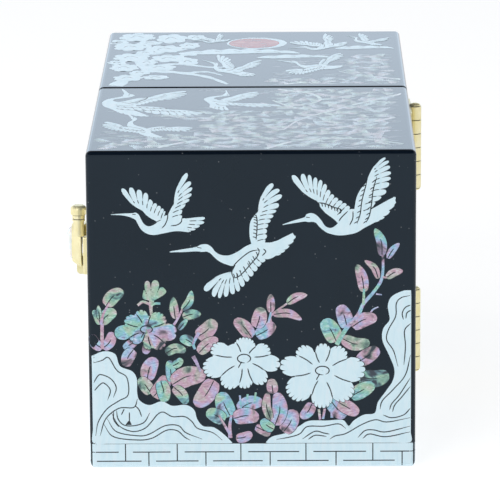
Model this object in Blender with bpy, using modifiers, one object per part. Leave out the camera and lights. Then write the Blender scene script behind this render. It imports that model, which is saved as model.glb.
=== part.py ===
# Jewellery box whose two lidded halves close like a book on a pair of brass butt hinges.
# Metres, +Z up, front towards -Y, length along X. The left half holds three drawers,
# the right half swings about the hinge pins and holds a mirror, necklace hooks and a pocket.

import math

import bmesh
import bpy
from mathutils import Matrix, Vector

# Case
CASE_LENGTH = 0.200
CASE_DEPTH = 0.110
CASE_HEIGHT = 0.110
WALL = 0.007
SEAM_GAP = 0.0006
EDGE_RADIUS = 0.0018
SEAM_EDGE_RADIUS = 0.0010
EDGE_SEGMENTS = 4
SMALL_EDGE_SEGMENTS = 2

# Fits and cutting
SEAT_GAP = 0.0003
CUT_OVERRUN = 0.002
MERGE_DISTANCE = 0.00001
ROUND_STEPS = 24
SMALL_ROUND_STEPS = 16
SHARP_ANGLE = math.radians(40)
ROUND_PROFILE = 0.5

# Shelves and drawers
DRAWER_COUNT = 3
SHELF_THICKNESS = 0.003
SHELF_EDGE_RADIUS = 0.0005
DRAWER_TOP_GAP = 0.0007
DRAWER_SIDE_GAP = 0.0005
DRAWER_BACK_GAP = 0.0010
DRAWER_RECESS = 0.0010
FRONT_THICKNESS = 0.006
FRONT_EDGE_RADIUS = 0.0008
TRAY_WALL = 0.003
TRAY_FLOOR = 0.0025
TRAY_TOP_DROP = 0.005
PAD_THICKNESS = 0.0012
DIVIDER_THICKNESS = 0.002
DIVIDER_TOP_DROP = 0.0047

# Drawer knob
KNOB_LENGTH = 0.0090
KNOB_FOOT_RADIUS = 0.0036
KNOB_FOOT_HEIGHT = 0.0012
KNOB_NECK_RADIUS = 0.0018
KNOB_HEAD_RADIUS = 0.0044
KNOB_HEAD_HEIGHT = 0.0052
KNOB_SHANK_RADIUS = 0.0014
KNOB_HEAD_POINTS = 8

# Ring cushion
ROLL_COUNT = 6
CUSHION_TOP_DROP = 0.0047
CUSHION_BASE = 0.0060
ROLL_POINTS = 9
CUSHION_CROWN = 0.0012
CUSHION_END_STEPS = 4

# Mirror, hooks and necklace pocket in the right half
MIRROR_SIDE_MARGIN = 0.005
MIRROR_FOOT_HEIGHT = 0.012
MIRROR_FRAME_WIDTH = 0.007
MIRROR_FRAME_THICKNESS = 0.004
MIRROR_REBATE_WIDTH = 0.002
MIRROR_REBATE_DEPTH = 0.0024
MIRROR_GLASS_THICKNESS = 0.0018
MIRROR_FRAME_RADIUS = 0.0010
HOOK_RAIL_HEIGHT = 0.009
HOOK_RAIL_THICKNESS = 0.005
HOOK_RAIL_DROP = 0.002
HOOK_COUNT = 5
HOOK_WIRE_RADIUS = 0.0008
HOOK_REACH = 0.0070
HOOK_RISE = 0.0050
HOOK_BEND_RADIUS = 0.0018
HOOK_BEND_POINTS = 6
MIRROR_CLEARANCE = 0.003
POCKET_DEPTH = 0.013
POCKET_WALL = 0.003
POCKET_HEIGHT = 0.016
POCKET_EDGE_RADIUS = 0.0010

# Back hinges
HINGE_AXIS_OUT = 0.0027
HINGE_BARREL_RADIUS = 0.0023
HINGE_LENGTH = 0.032
HINGE_TOP_INSET = 0.0060
HINGE_BOTTOM_INSET = 0.0045
HINGE_LEAF_WIDTH = 0.012
HINGE_LEAF_THICKNESS = 0.001
HINGE_LEAF_ROOT = 0.0007
HINGE_KNUCKLES = 6
HINGE_KNUCKLE_GAP = 0.0003
HINGE_PIN_RADIUS = 0.0010
HINGE_PIN_HEAD_RADIUS = 0.0020
HINGE_PIN_HEAD_HEIGHT = 0.0009
HINGE_PIN_HEAD_POINTS = 5

# Wood screws in the brassware
SCREW_HEAD_RADIUS = 0.0015
SCREW_SHANK_RADIUS = 0.0007
SCREW_SUNK = 0.0001

# Front clasp
CLASP_HEIGHT_CENTRE = 0.05475
CLASP_AXIS_X = 0.0072
CLASP_AXIS_OUT = 0.0074
CLASP_PLATE_HEIGHT = 0.0281
CLASP_PLATE_THICKNESS = 0.0012
CLASP_PLATE_WIDTH = 0.0135
CLASP_PLATE_CORNER = 0.0025
CLASP_SEAM_INSET = 0.0010
CLASP_KNOB_RADIUS = 0.0028
CLASP_KNOB_HEIGHT = 0.0032
CLASP_KNOB_ROUND = 0.0013
CLASP_WEB_WIDTH = 0.0034
CLASP_WEB_HEIGHT = 0.0019
CLASP_RIB_OUT = 0.0060
CLASP_RIB_LENGTH = 0.0138
CLASP_RIB_EDGE = 0.0005
CLASP_WASHER_THICKNESS = 0.0012
CLASP_WASHER_RADIUS = 0.00225
CLASP_COLLAR_HEIGHT = 0.0007
CLASP_KNUCKLE_RADIUS = 0.0019
CLASP_KNUCKLE_HEIGHT = 0.0062
CLASP_PIN_RADIUS = 0.0006
CLASP_PIN_IN_KNOB = 0.0018
CLASP_PIN_IN_KNUCKLE = 0.0050
FLAP_CLEARANCE = 0.0008
FLAP_THICKNESS = 0.0012
BEZEL_HALF_WIDTH = 0.0061
BEZEL_HALF_HEIGHT = 0.0090
BEZEL_CENTRE_X = -0.0001
BEZEL_DROP = 0.00145
BEZEL_RISE = 0.0021
BEZEL_WALL = 0.0006
BEZEL_RIM_SHARE = 0.76
BEZEL_CURVE = 1.6
BEZEL_RINGS = 5
CABOCHON_RISE = 0.0023
CABOCHON_SINK = 0.0016
CABOCHON_RINGS = 6
OVAL_STEPS = 40
THUMB_TAB_LENGTH = 0.0030
THUMB_TAB_WIDTH = 0.0056
THUMB_TAB_EDGE = 0.0004
KEEPER_HEIGHT = 0.0061
KEEPER_WIDTH = 0.0064
KEEPER_TALL = 0.0175
KEEPER_INSET = 0.0008
KEEPER_EDGE_RADIUS = 0.0008
KEEPER_FOOT_OUT = 0.0088
KEEPER_FOOT_TALL = 0.0063
KEEPER_FOOT_SPREAD = 0.0003
KEEPER_FOOT_ROUND = 0.0013
KEEPER_POCKET_CLEARANCE = 0.0005

# Places as shares of the plate that the screws hold
HINGE_SCREW_HEIGHT_SHARES = (-0.32, 0.32)
HINGE_SCREW_ACROSS_SHARES = (0.62, 0.62)
CLASP_SCREW_ACROSS_SHARE = 0.80
CLASP_SCREW_HEIGHT_SHARE = 0.32

# Places that follow from the sizes above
BEZEL_CENTRE_HEIGHT = CLASP_HEIGHT_CENTRE - BEZEL_DROP
FRONT_PROTRUSION = KEEPER_HEIGHT + FLAP_CLEARANCE + FLAP_THICKNESS + BEZEL_RISE + CABOCHON_RISE
BACK_PROTRUSION = HINGE_AXIS_OUT + HINGE_BARREL_RADIUS
CASE_CENTRE_Y = (FRONT_PROTRUSION - BACK_PROTRUSION) / 2
FRONT_Y = CASE_CENTRE_Y - CASE_DEPTH / 2
BACK_Y = CASE_CENTRE_Y + CASE_DEPTH / 2
HALF_LENGTH = CASE_LENGTH / 2
INNER_FRONT_Y = FRONT_Y + WALL
INNER_BACK_Y = BACK_Y - WALL
INNER_FLOOR = WALL
INNER_TOP = CASE_HEIGHT - WALL
INNER_END = HALF_LENGTH - WALL
SEAM_X = SEAM_GAP / 2
HINGE_AXIS_Y = BACK_Y + HINGE_AXIS_OUT

# Finishes: linear colour, roughness, metallic
LACQUER = ((0.012, 0.015, 0.022), 0.12, 0.0)
INNER_WOOD = ((0.055, 0.018, 0.012), 0.45, 0.0)
VELVET = ((0.120, 0.010, 0.018), 0.95, 0.0)
BRASS = ((0.80, 0.66, 0.32), 0.22, 1.0)
MIRROR_SILVER = ((0.86, 0.88, 0.90), 0.03, 1.0)
SHELL_WHITE = ((0.82, 0.86, 0.88), 0.15, 0.0)


def clear_scene():
    for old in list(bpy.data.objects):
        bpy.data.objects.remove(old, do_unlink=True)


def make_collection(name):
    collection = bpy.data.collections.get(name) or bpy.data.collections.new(name)
    if collection.name not in bpy.context.scene.collection.children:
        bpy.context.scene.collection.children.link(collection)
    return collection


def make_material(name, colour, roughness, metallic):
    """A Principled material that one sub-part wears."""
    material = bpy.data.materials.new(name)
    material.use_nodes = True
    shader = material.node_tree.nodes["Principled BSDF"]
    shader.inputs["Base Color"].default_value = (*colour, 1.0)
    shader.inputs["Roughness"].default_value = roughness
    shader.inputs["Metallic"].default_value = metallic
    return material


def add_part(name, data, location, finish):
    """Link one sub-part and give it its own material from (colour, roughness, metallic)."""
    part = bpy.data.objects.new(name, data)
    part.location = location
    parts_collection.objects.link(part)
    part.data.materials.append(make_material(name, *finish))
    return part


def add_cutter(name, data, location):
    """Link a cutting body, which stays out of the model itself."""
    cutter = bpy.data.objects.new(name, data)
    cutter.location = location
    cutter.hide_render = True
    cutter.display_type = "WIRE"
    cutters_collection.objects.link(cutter)
    return cutter


def add_pivot(name, location, parent=None):
    pivot = bpy.data.objects.new(name, None)
    pivot.location = location
    parts_collection.objects.link(pivot)
    if parent:
        attach(pivot, parent)
    return pivot


def world_place(item):
    place = Vector(item.location)
    if item.parent:
        place = place + world_place(item.parent)
    return place


def attach(item, pivot):
    """Hang an item on a pivot without moving it in the world. Pivots are never rotated."""
    item.location = Vector(item.location) - world_place(pivot)
    item.parent = pivot


def middle(low, high):
    return (Vector(low) + Vector(high)) / 2


def finish_bmesh(bm, name):
    data = bpy.data.meshes.new(name)
    bmesh.ops.recalc_face_normals(bm, faces=bm.faces)
    bm.to_mesh(data)
    bm.free()
    return data


def add_box(bm, low, high, about):
    """Add a cuboid between two world corners to a bmesh whose origin is about."""
    size = Vector(high) - Vector(low)
    cube = bmesh.ops.create_cube(bm, size=1.0)
    bmesh.ops.scale(bm, vec=size, verts=cube["verts"])
    bmesh.ops.translate(bm, vec=middle(low, high) - Vector(about), verts=cube["verts"])


def box_mesh(name, low, high):
    bm = bmesh.new()
    add_box(bm, low, high, middle(low, high))
    return finish_bmesh(bm, name)


def add_cylinder(bm, start, end, radius, about, steps=ROUND_STEPS, end_radius=None):
    """Add a cylinder or cone between two world points to a bmesh whose origin is about."""
    axis = Vector(end) - Vector(start)
    turn = Vector((0, 0, 1)).rotation_difference(axis).to_matrix().to_4x4()
    shift = Matrix.Translation(middle(start, end) - Vector(about))
    cone = bmesh.ops.create_cone(
        bm, cap_ends=True, segments=steps, radius1=radius,
        radius2=radius if end_radius is None else end_radius,
        depth=axis.length, matrix=shift @ turn)
    return cone["verts"]


def add_bevel(part, width, segments=SMALL_EDGE_SEGMENTS):
    bevel = part.modifiers.new("Bevel", "BEVEL")
    bevel.width = width
    bevel.segments = segments
    bevel.limit_method = "ANGLE"
    bevel.angle_limit = SHARP_ANGLE
    return bevel


def add_boolean(part, operation, other):
    boolean = part.modifiers.new(operation.title(), "BOOLEAN")
    boolean.operation = operation
    boolean.object = other
    boolean.solver = "EXACT"
    return boolean


def shade_round(part):
    part.data.shade_smooth()
    part.data.set_sharp_from_angle(angle=SHARP_ANGLE)


def turned(name, profile, location, finish, steps=ROUND_STEPS):
    """A turned piece about its own Z. The profile's (radius, height) pairs run top to bottom."""
    data = bpy.data.meshes.new(name)
    points = [(radius, 0.0, height) for radius, height in profile]
    data.from_pydata(points, [(i, i + 1) for i in range(len(points) - 1)], [])
    part = add_part(name, data, location, finish)
    screw = part.modifiers.new("Screw", "SCREW")
    screw.axis = "Z"
    screw.steps = steps
    screw.render_steps = steps
    screw.use_merge_vertices = True
    screw.merge_threshold = MERGE_DISTANCE
    screw.use_smooth_shade = True
    return part


def oval_points(half_width, half_height, count=OVAL_STEPS):
    angles = [2 * math.pi * i / count for i in range(count)]
    return [(half_width * math.cos(a), half_height * math.sin(a)) for a in angles]


def add_oval_loft(bm, half_width, half_height, levels, centre, about):
    """An oval body on the case's front: its levels are distances out from it and shares of the oval."""
    rings = []
    for out, share in levels:
        ring = []
        for across, up in oval_points(half_width * share, half_height * share):
            place = Vector((centre[0] + across, FRONT_Y - out, centre[1] + up))
            ring.append(bm.verts.new(place - Vector(about)))
        rings.append(ring)
    bm.faces.new(rings[0])
    bm.faces.new(list(reversed(rings[-1])))
    count = len(rings[0])
    for lower, upper in zip(rings, rings[1:]):
        for i in range(count):
            j = (i + 1) % count
            bm.faces.new((lower[i], upper[i], upper[j], lower[j]))


# Case halves
def case_half(name, side):
    """One open-sided half of the case: side -1 is the left half, +1 the right."""
    seam, end = side * SEAM_X, side * HALF_LENGTH
    low = (min(seam, end), FRONT_Y, 0)
    high = (max(seam, end), BACK_Y, CASE_HEIGHT)
    centre = middle(low, high)
    bm = bmesh.new()
    add_box(bm, low, high, centre)
    weights = bm.edges.layers.float.new("bevel_weight_edge")
    seam_local = seam - centre.x
    for edge in bm.edges:
        at_seam = all(abs(v.co.x - seam_local) < MERGE_DISTANCE for v in edge.verts)
        edge[weights] = SEAM_EDGE_RADIUS / EDGE_RADIUS if at_seam else 1.0
    part = add_part(name, finish_bmesh(bm, name), centre, LACQUER)
    bevel = add_bevel(part, EDGE_RADIUS, EDGE_SEGMENTS)
    bevel.limit_method = "WEIGHT"
    inner_end = side * INNER_END
    mouth = seam - side * CUT_OVERRUN
    cut_low = (min(mouth, inner_end), INNER_FRONT_Y, INNER_FLOOR)
    cut_high = (max(mouth, inner_end), INNER_BACK_Y, INNER_TOP)
    cavity = add_cutter(name + "_cavity", box_mesh(name + "_cavity", cut_low, cut_high),
                        middle(cut_low, cut_high))
    add_boolean(part, "DIFFERENCE", cavity)
    return part


# Drawers
def compartment(index):
    """The floor and ceiling of one drawer's compartment, counted from the bottom."""
    free = INNER_TOP - INNER_FLOOR - (DRAWER_COUNT - 1) * SHELF_THICKNESS
    pitch = free / DRAWER_COUNT + SHELF_THICKNESS
    floor = INNER_FLOOR + index * pitch
    return floor, floor + free / DRAWER_COUNT


def shelf(index):
    floor = compartment(index)[1]
    low = (-INNER_END + SEAT_GAP, INNER_FRONT_Y + SEAT_GAP, floor)
    high = (-SEAM_X - DRAWER_RECESS, INNER_BACK_Y - SEAT_GAP, floor + SHELF_THICKNESS)
    name = "drawer_shelf_%d" % (index + 1)
    part = add_part(name, box_mesh(name, low, high), middle(low, high), INNER_WOOD)
    add_bevel(part, SHELF_EDGE_RADIUS, 1)
    return part


def drawer_box(index):
    """The world corners of one drawer's front and of its tray."""
    floor, ceiling = compartment(index)
    left_y = INNER_FRONT_Y + DRAWER_SIDE_GAP
    right_y = INNER_BACK_Y - DRAWER_SIDE_GAP
    bottom = floor + SEAT_GAP
    face = -SEAM_X - DRAWER_RECESS
    top = ceiling - DRAWER_TOP_GAP
    front = ((face - FRONT_THICKNESS, left_y, bottom), (face, right_y, top))
    tray = ((-INNER_END + DRAWER_BACK_GAP, left_y, bottom),
            (face - FRONT_THICKNESS - SEAT_GAP, right_y, top - TRAY_TOP_DROP))
    return front, tray


def tray_inside(index):
    low, high = drawer_box(index)[1]
    inner_low = Vector(low) + Vector((TRAY_WALL, TRAY_WALL, TRAY_FLOOR))
    inner_high = Vector(high) - Vector((TRAY_WALL, TRAY_WALL, 0))
    return inner_low, inner_high


def drawer(index, pivot):
    """The front, tray and knob of one drawer, all hung on its sliding pivot."""
    number = index + 1
    (low, high), (tray_low, tray_high) = drawer_box(index)
    knob_place = Vector((high[0], (low[1] + high[1]) / 2, (low[2] + high[2]) / 2))

    front_name = "drawer_front_%d" % number
    front = add_part(front_name, box_mesh(front_name, low, high), middle(low, high), LACQUER)
    add_bevel(front, FRONT_EDGE_RADIUS)
    bm = bmesh.new()
    add_cylinder(bm, knob_place + Vector((CUT_OVERRUN, 0, 0)),
                 knob_place - Vector((FRONT_THICKNESS + CUT_OVERRUN, 0, 0)),
                 KNOB_SHANK_RADIUS + SEAT_GAP, knob_place, SMALL_ROUND_STEPS)
    hole = add_cutter(front_name + "_hole", finish_bmesh(bm, front_name + "_hole"), knob_place)
    add_boolean(front, "DIFFERENCE", hole)

    tray_name = "drawer_tray_%d" % number
    tray = add_part(tray_name, box_mesh(tray_name, tray_low, tray_high),
                    middle(tray_low, tray_high), INNER_WOOD)
    inner_low, inner_high = tray_inside(index)
    inner_high.z += CUT_OVERRUN
    hollow = add_cutter(tray_name + "_hollow", box_mesh(tray_name + "_hollow", inner_low, inner_high),
                        middle(inner_low, inner_high))
    add_boolean(tray, "DIFFERENCE", hollow)

    knob = drawer_knob("drawer_knob_%d" % number, knob_place)
    for part in (front, hole, tray, hollow, knob):
        attach(part, pivot)


def drawer_knob(name, place):
    """A turned knob: a shank in the front, a foot, a neck and a flattened ball."""
    head_centre = KNOB_LENGTH - KNOB_HEAD_HEIGHT / 2
    neck_angle = -math.acos(KNOB_NECK_RADIUS / KNOB_HEAD_RADIUS)
    profile = [(0.0, KNOB_LENGTH)]
    for i in range(1, KNOB_HEAD_POINTS + 1):
        angle = math.pi / 2 + (neck_angle - math.pi / 2) * i / KNOB_HEAD_POINTS
        profile.append((KNOB_HEAD_RADIUS * math.cos(angle),
                        head_centre + KNOB_HEAD_HEIGHT / 2 * math.sin(angle)))
    foot_top = SEAT_GAP + KNOB_FOOT_HEIGHT
    profile += [(KNOB_NECK_RADIUS, foot_top + KNOB_FOOT_HEIGHT / 2),
                (KNOB_FOOT_RADIUS, foot_top),
                (KNOB_FOOT_RADIUS, SEAT_GAP),
                (KNOB_SHANK_RADIUS, SEAT_GAP),
                (KNOB_SHANK_RADIUS, -FRONT_THICKNESS),
                (0.0, -FRONT_THICKNESS)]
    knob = turned(name, profile, place, BRASS)
    knob.rotation_euler = (0, math.pi / 2, 0)
    return knob


def drawer_pad(index, pivot):
    low, high = tray_inside(index)
    low = low + Vector((SEAT_GAP, SEAT_GAP, SEAT_GAP))
    high = Vector((high.x - SEAT_GAP, high.y - SEAT_GAP, low.z + PAD_THICKNESS))
    name = "drawer_pad_%d" % (index + 1)
    pad = add_part(name, box_mesh(name, low, high), middle(low, high), VELVET)
    attach(pad, pivot)
    return high.z


def drawer_dividers(index, pad_top, pivot):
    """Two boards halved over each other, which part one tray into four."""
    low, high = tray_inside(index)
    centre = middle(low, high)
    bottom, top = pad_top + SEAT_GAP, high.z - DIVIDER_TOP_DROP
    half_lap = (bottom + top) / 2
    thick = DIVIDER_THICKNESS / 2
    slot = thick + SEAT_GAP
    boards = {
        "drawer_divider_long": (
            (centre.x - thick, low.y + SEAT_GAP, bottom), (centre.x + thick, high.y - SEAT_GAP, top),
            (centre.x - slot, centre.y - slot, half_lap - SEAT_GAP / 2),
            (centre.x + slot, centre.y + slot, top + CUT_OVERRUN)),
        "drawer_divider_short": (
            (low.x + SEAT_GAP, centre.y - thick, bottom), (high.x - SEAT_GAP, centre.y + thick, top),
            (centre.x - slot, centre.y - slot, bottom - CUT_OVERRUN),
            (centre.x + slot, centre.y + slot, half_lap + SEAT_GAP / 2)),
    }
    for name, (board_low, board_high, cut_low, cut_high) in boards.items():
        board = add_part(name, box_mesh(name, board_low, board_high),
                         middle(board_low, board_high), INNER_WOOD)
        cut = add_cutter(name + "_lap", box_mesh(name + "_lap", cut_low, cut_high),
                         middle(cut_low, cut_high))
        add_boolean(board, "DIFFERENCE", cut)
        attach(board, pivot)
        attach(cut, pivot)


def ring_cushion(index, pivot):
    """Soft rolls side by side on one base; rings stand in the channels between them.

    The section along X is a row of half-round rolls. Towards both ends of the rolls its
    height falls off along a quarter circle, and it is crowned at mid length."""
    low, high = tray_inside(index)
    low = low + Vector((SEAT_GAP, SEAT_GAP, SEAT_GAP))
    high = high - Vector((SEAT_GAP, SEAT_GAP, CUSHION_TOP_DROP))
    pitch = (high.x - low.x) / ROLL_COUNT
    section = []
    for roll in range(ROLL_COUNT):
        for i in range(ROLL_POINTS - 1):
            angle = math.pi * i / (ROLL_POINTS - 1)
            along = low.x + roll * pitch + pitch * (1 - math.cos(angle)) / 2
            section.append((along, math.sin(angle)))
    section.append((high.x, 0.0))
    roll_rise = high.z - low.z - CUSHION_CROWN - CUSHION_BASE
    stations = []
    for i in range(CUSHION_END_STEPS + 1):
        angle = math.pi / 2 * i / CUSHION_END_STEPS
        stations.append((low.y + roll_rise * (1 - math.cos(angle)), math.sin(angle)))
    mirrored = [(low.y + high.y - y, rise) for y, rise in reversed(stations)]
    stations += [((low.y + high.y) / 2, 1.0 + CUSHION_CROWN / roll_rise)] + mirrored
    about = Vector(((low.x + high.x) / 2, (low.y + high.y) / 2, low.z))
    bm = bmesh.new()
    rows = []
    for y, rise in stations:
        row = [bm.verts.new(Vector((x, y, low.z + CUSHION_BASE + roll_rise * rise * bump)) - about)
               for x, bump in section]
        row.append(bm.verts.new(Vector((high.x, y, low.z)) - about))
        row.append(bm.verts.new(Vector((low.x, y, low.z)) - about))
        rows.append(row)
    count = len(rows[0])
    for first, second in zip(rows, rows[1:]):
        for i in range(count):
            j = (i + 1) % count
            bm.faces.new((first[i], first[j], second[j], second[i]))
    bm.faces.new(rows[0])
    bm.faces.new(rows[-1])
    cushion = add_part("ring_cushion", finish_bmesh(bm, "ring_cushion"), about, VELVET)
    shade_round(cushion)
    attach(cushion, pivot)


# Mirror, hooks and pocket
def mirror_place():
    """The world corners of the mirror's frame on the right half's end wall."""
    wall_x = INNER_END - SEAT_GAP
    top = INNER_TOP - HOOK_RAIL_DROP - HOOK_RAIL_HEIGHT - MIRROR_CLEARANCE
    low = Vector((wall_x - MIRROR_FRAME_THICKNESS, INNER_FRONT_Y + MIRROR_SIDE_MARGIN,
                  INNER_FLOOR + MIRROR_FOOT_HEIGHT))
    high = Vector((wall_x, INNER_BACK_Y - MIRROR_SIDE_MARGIN, top))
    return low, high


def mirror(pivot):
    low, high = mirror_place()
    frame = add_part("mirror_frame", box_mesh("mirror_frame", low, high), middle(low, high), LACQUER)
    add_bevel(frame, MIRROR_FRAME_RADIUS)
    rim = Vector((0, MIRROR_FRAME_WIDTH, MIRROR_FRAME_WIDTH))
    window_low = low + rim - Vector((CUT_OVERRUN, 0, 0))
    window_high = high - rim + Vector((CUT_OVERRUN, 0, 0))
    window = add_cutter("mirror_window", box_mesh("mirror_window", window_low, window_high),
                        middle(window_low, window_high))
    lip = MIRROR_FRAME_WIDTH - MIRROR_REBATE_WIDTH
    rebate_low = low + Vector((MIRROR_FRAME_THICKNESS - MIRROR_REBATE_DEPTH, lip, lip))
    rebate_high = high - Vector((-CUT_OVERRUN, lip, lip))
    rebate = add_cutter("mirror_rebate", box_mesh("mirror_rebate", rebate_low, rebate_high),
                        middle(rebate_low, rebate_high))
    add_boolean(frame, "DIFFERENCE", window)
    add_boolean(frame, "DIFFERENCE", rebate)
    glass_low = rebate_low + Vector((SEAT_GAP, SEAT_GAP, SEAT_GAP))
    glass_high = Vector((glass_low.x + MIRROR_GLASS_THICKNESS, rebate_high.y - SEAT_GAP,
                         rebate_high.z - SEAT_GAP))
    glass = add_part("mirror_glass", box_mesh("mirror_glass", glass_low, glass_high),
                     middle(glass_low, glass_high), MIRROR_SILVER)
    for part in (frame, window, rebate, glass):
        attach(part, pivot)


def hook_rail(pivot):
    """The rail along the top of the end wall, and the wire hooks that stand in it."""
    wall_x = INNER_END - SEAT_GAP
    top = INNER_TOP - HOOK_RAIL_DROP
    low = Vector((wall_x - HOOK_RAIL_THICKNESS, INNER_FRONT_Y + SEAT_GAP, top - HOOK_RAIL_HEIGHT))
    high = Vector((wall_x, INNER_BACK_Y - SEAT_GAP, top))
    rail = add_part("hook_rail", box_mesh("hook_rail", low, high), middle(low, high), LACQUER)
    add_bevel(rail, MIRROR_FRAME_RADIUS)
    face = Vector((low.x, CASE_CENTRE_Y, (low.z + high.z) / 2))
    spacing = (high.y - low.y) / HOOK_COUNT
    places = [(i - (HOOK_COUNT - 1) / 2) * spacing for i in range(HOOK_COUNT)]
    bm = bmesh.new()
    for across in places:
        start = face + Vector((-CUT_OVERRUN, across, 0))
        end = face + Vector((HOOK_RAIL_THICKNESS + CUT_OVERRUN, across, 0))
        add_cylinder(bm, start, end, HOOK_WIRE_RADIUS + SEAT_GAP, face, SMALL_ROUND_STEPS)
    holes = add_cutter("hook_holes", finish_bmesh(bm, "hook_holes"), face)
    add_boolean(rail, "DIFFERENCE", holes)

    for number, across in enumerate(places, 1):
        hook = necklace_hook("necklace_hook_%d" % number, face + Vector((0, across, 0)))
        attach(hook, pivot)
    for part in (rail, holes):
        attach(part, pivot)


def necklace_hook(name, place):
    """A bent wire: out of the rail towards the seam, then up."""
    route = [(HOOK_RAIL_THICKNESS - SEAT_GAP, 0.0)]
    for i in range(HOOK_BEND_POINTS + 1):
        angle = math.pi / 2 * i / HOOK_BEND_POINTS
        route.append((HOOK_BEND_RADIUS * (1 - math.sin(angle)) - HOOK_REACH,
                      HOOK_BEND_RADIUS * (1 - math.cos(angle))))
    route.append((-HOOK_REACH, HOOK_RISE))
    wire = bpy.data.curves.new(name, "CURVE")
    wire.dimensions = "3D"
    wire.bevel_depth = HOOK_WIRE_RADIUS
    wire.bevel_resolution = 2
    wire.use_fill_caps = True
    spline = wire.splines.new("POLY")
    spline.points.add(len(route) - 1)
    for point, (out, up) in zip(spline.points, route):
        point.co = (out, 0.0, up, 1.0)
    return add_part(name, wire, place, BRASS)


def necklace_pocket(pivot):
    """A low board that keeps the chains by the mirror, and the pad behind it."""
    mirror_face = mirror_place()[0].x
    board_high_x = mirror_face - POCKET_DEPTH
    floor = INNER_FLOOR + SEAT_GAP
    low = Vector((board_high_x - POCKET_WALL, INNER_FRONT_Y + SEAT_GAP, floor))
    high = Vector((board_high_x, INNER_BACK_Y - SEAT_GAP, floor + POCKET_HEIGHT))
    board = add_part("pocket_board", box_mesh("pocket_board", low, high), middle(low, high), LACQUER)
    add_bevel(board, POCKET_EDGE_RADIUS)
    pad_low = Vector((board_high_x + SEAT_GAP, low.y, floor))
    pad_high = Vector((INNER_END - SEAT_GAP, high.y, floor + PAD_THICKNESS))
    pad = add_part("pocket_pad", box_mesh("pocket_pad", pad_low, pad_high), middle(pad_low, pad_high),
                   VELVET)
    for part in (board, pad):
        attach(part, pivot)


# Hinges
def knuckle_span(index, bottom):
    """The bottom and top of one knuckle, between the two pin heads."""
    stack = HINGE_LENGTH - 2 * (HINGE_PIN_HEAD_HEIGHT + HINGE_KNUCKLE_GAP)
    length = (stack - (HINGE_KNUCKLES - 1) * HINGE_KNUCKLE_GAP) / HINGE_KNUCKLES
    start = bottom + HINGE_PIN_HEAD_HEIGHT + HINGE_KNUCKLE_GAP + index * (length + HINGE_KNUCKLE_GAP)
    return start, start + length


def screw_places(side, bottom):
    middle_z = bottom + HINGE_LENGTH / 2
    return [(side * HINGE_LEAF_WIDTH * across, middle_z + HINGE_LENGTH * up)
            for across, up in zip(HINGE_SCREW_ACROSS_SHARES, HINGE_SCREW_HEIGHT_SHARES)]


def hinge_leaf(name, side, bottom):
    """A flat leaf with rolled knuckles. The left leaf has every first knuckle, the right every second."""
    about = Vector((0, HINGE_AXIS_Y, bottom + HINGE_LENGTH / 2))
    stack_low, stack_high = knuckle_span(0, bottom)[0], knuckle_span(HINGE_KNUCKLES - 1, bottom)[1]
    plate_low_y = BACK_Y + SEAT_GAP
    plate_high_y = plate_low_y + HINGE_LEAF_THICKNESS
    root, tip = side * HINGE_LEAF_ROOT, side * HINGE_LEAF_WIDTH
    low = (min(root, tip), plate_low_y, stack_low)
    high = (max(root, tip), plate_high_y, stack_high)
    bm = bmesh.new()
    add_box(bm, low, high, about)
    leaf = add_part(name, finish_bmesh(bm, name), about, BRASS)

    own = [i for i in range(HINGE_KNUCKLES) if (i % 2 == 0) == (side < 0)]
    others = [i for i in range(HINGE_KNUCKLES) if i not in own]
    notches, knuckles, bores = bmesh.new(), bmesh.new(), bmesh.new()
    clear_x = side * (HINGE_BARREL_RADIUS + SEAT_GAP)
    far_x = -side * CUT_OVERRUN
    for i in others:
        start, end = knuckle_span(i, bottom)
        notch_low = (min(clear_x, far_x), plate_low_y - CUT_OVERRUN, start - HINGE_KNUCKLE_GAP)
        notch_high = (max(clear_x, far_x), plate_high_y + CUT_OVERRUN, end + HINGE_KNUCKLE_GAP)
        add_box(notches, notch_low, notch_high, about)
    for i in own:
        start, end = knuckle_span(i, bottom)
        add_cylinder(knuckles, (0, HINGE_AXIS_Y, start), (0, HINGE_AXIS_Y, end), HINGE_BARREL_RADIUS, about)
    add_cylinder(bores, (0, HINGE_AXIS_Y, stack_low - CUT_OVERRUN),
                 (0, HINGE_AXIS_Y, stack_high + CUT_OVERRUN), HINGE_PIN_RADIUS + SEAT_GAP, about)
    for across, up in screw_places(side, bottom):
        add_countersink(bores, (across, plate_high_y, up), (0, 1, 0), HINGE_LEAF_THICKNESS, about)
    for label, operation, cutter in (("notches", "DIFFERENCE", notches), ("knuckles", "UNION", knuckles),
                                     ("bores", "DIFFERENCE", bores)):
        body = add_cutter(name + "_" + label, finish_bmesh(cutter, name + "_" + label), about)
        add_boolean(leaf, operation, body)
    return leaf


def hinge_pin(name, bottom):
    """A pin with a domed head at each end, which covers the barrel's end."""
    half = HINGE_LENGTH / 2
    dome = []
    for i in range(HINGE_PIN_HEAD_POINTS):
        angle = math.pi / 2 * i / (HINGE_PIN_HEAD_POINTS - 1)
        dome.append((HINGE_PIN_HEAD_RADIUS * math.sin(angle),
                     half - HINGE_PIN_HEAD_HEIGHT * (1 - math.cos(angle))))
    upper = dome + [(HINGE_PIN_RADIUS, half - HINGE_PIN_HEAD_HEIGHT)]
    lower = [(radius, -height) for radius, height in reversed(upper)]
    return turned(name, upper + lower, (0, HINGE_AXIS_Y, bottom + half), BRASS)


# Screws
def screw_head_depth():
    return SCREW_HEAD_RADIUS - SCREW_SHANK_RADIUS


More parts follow.
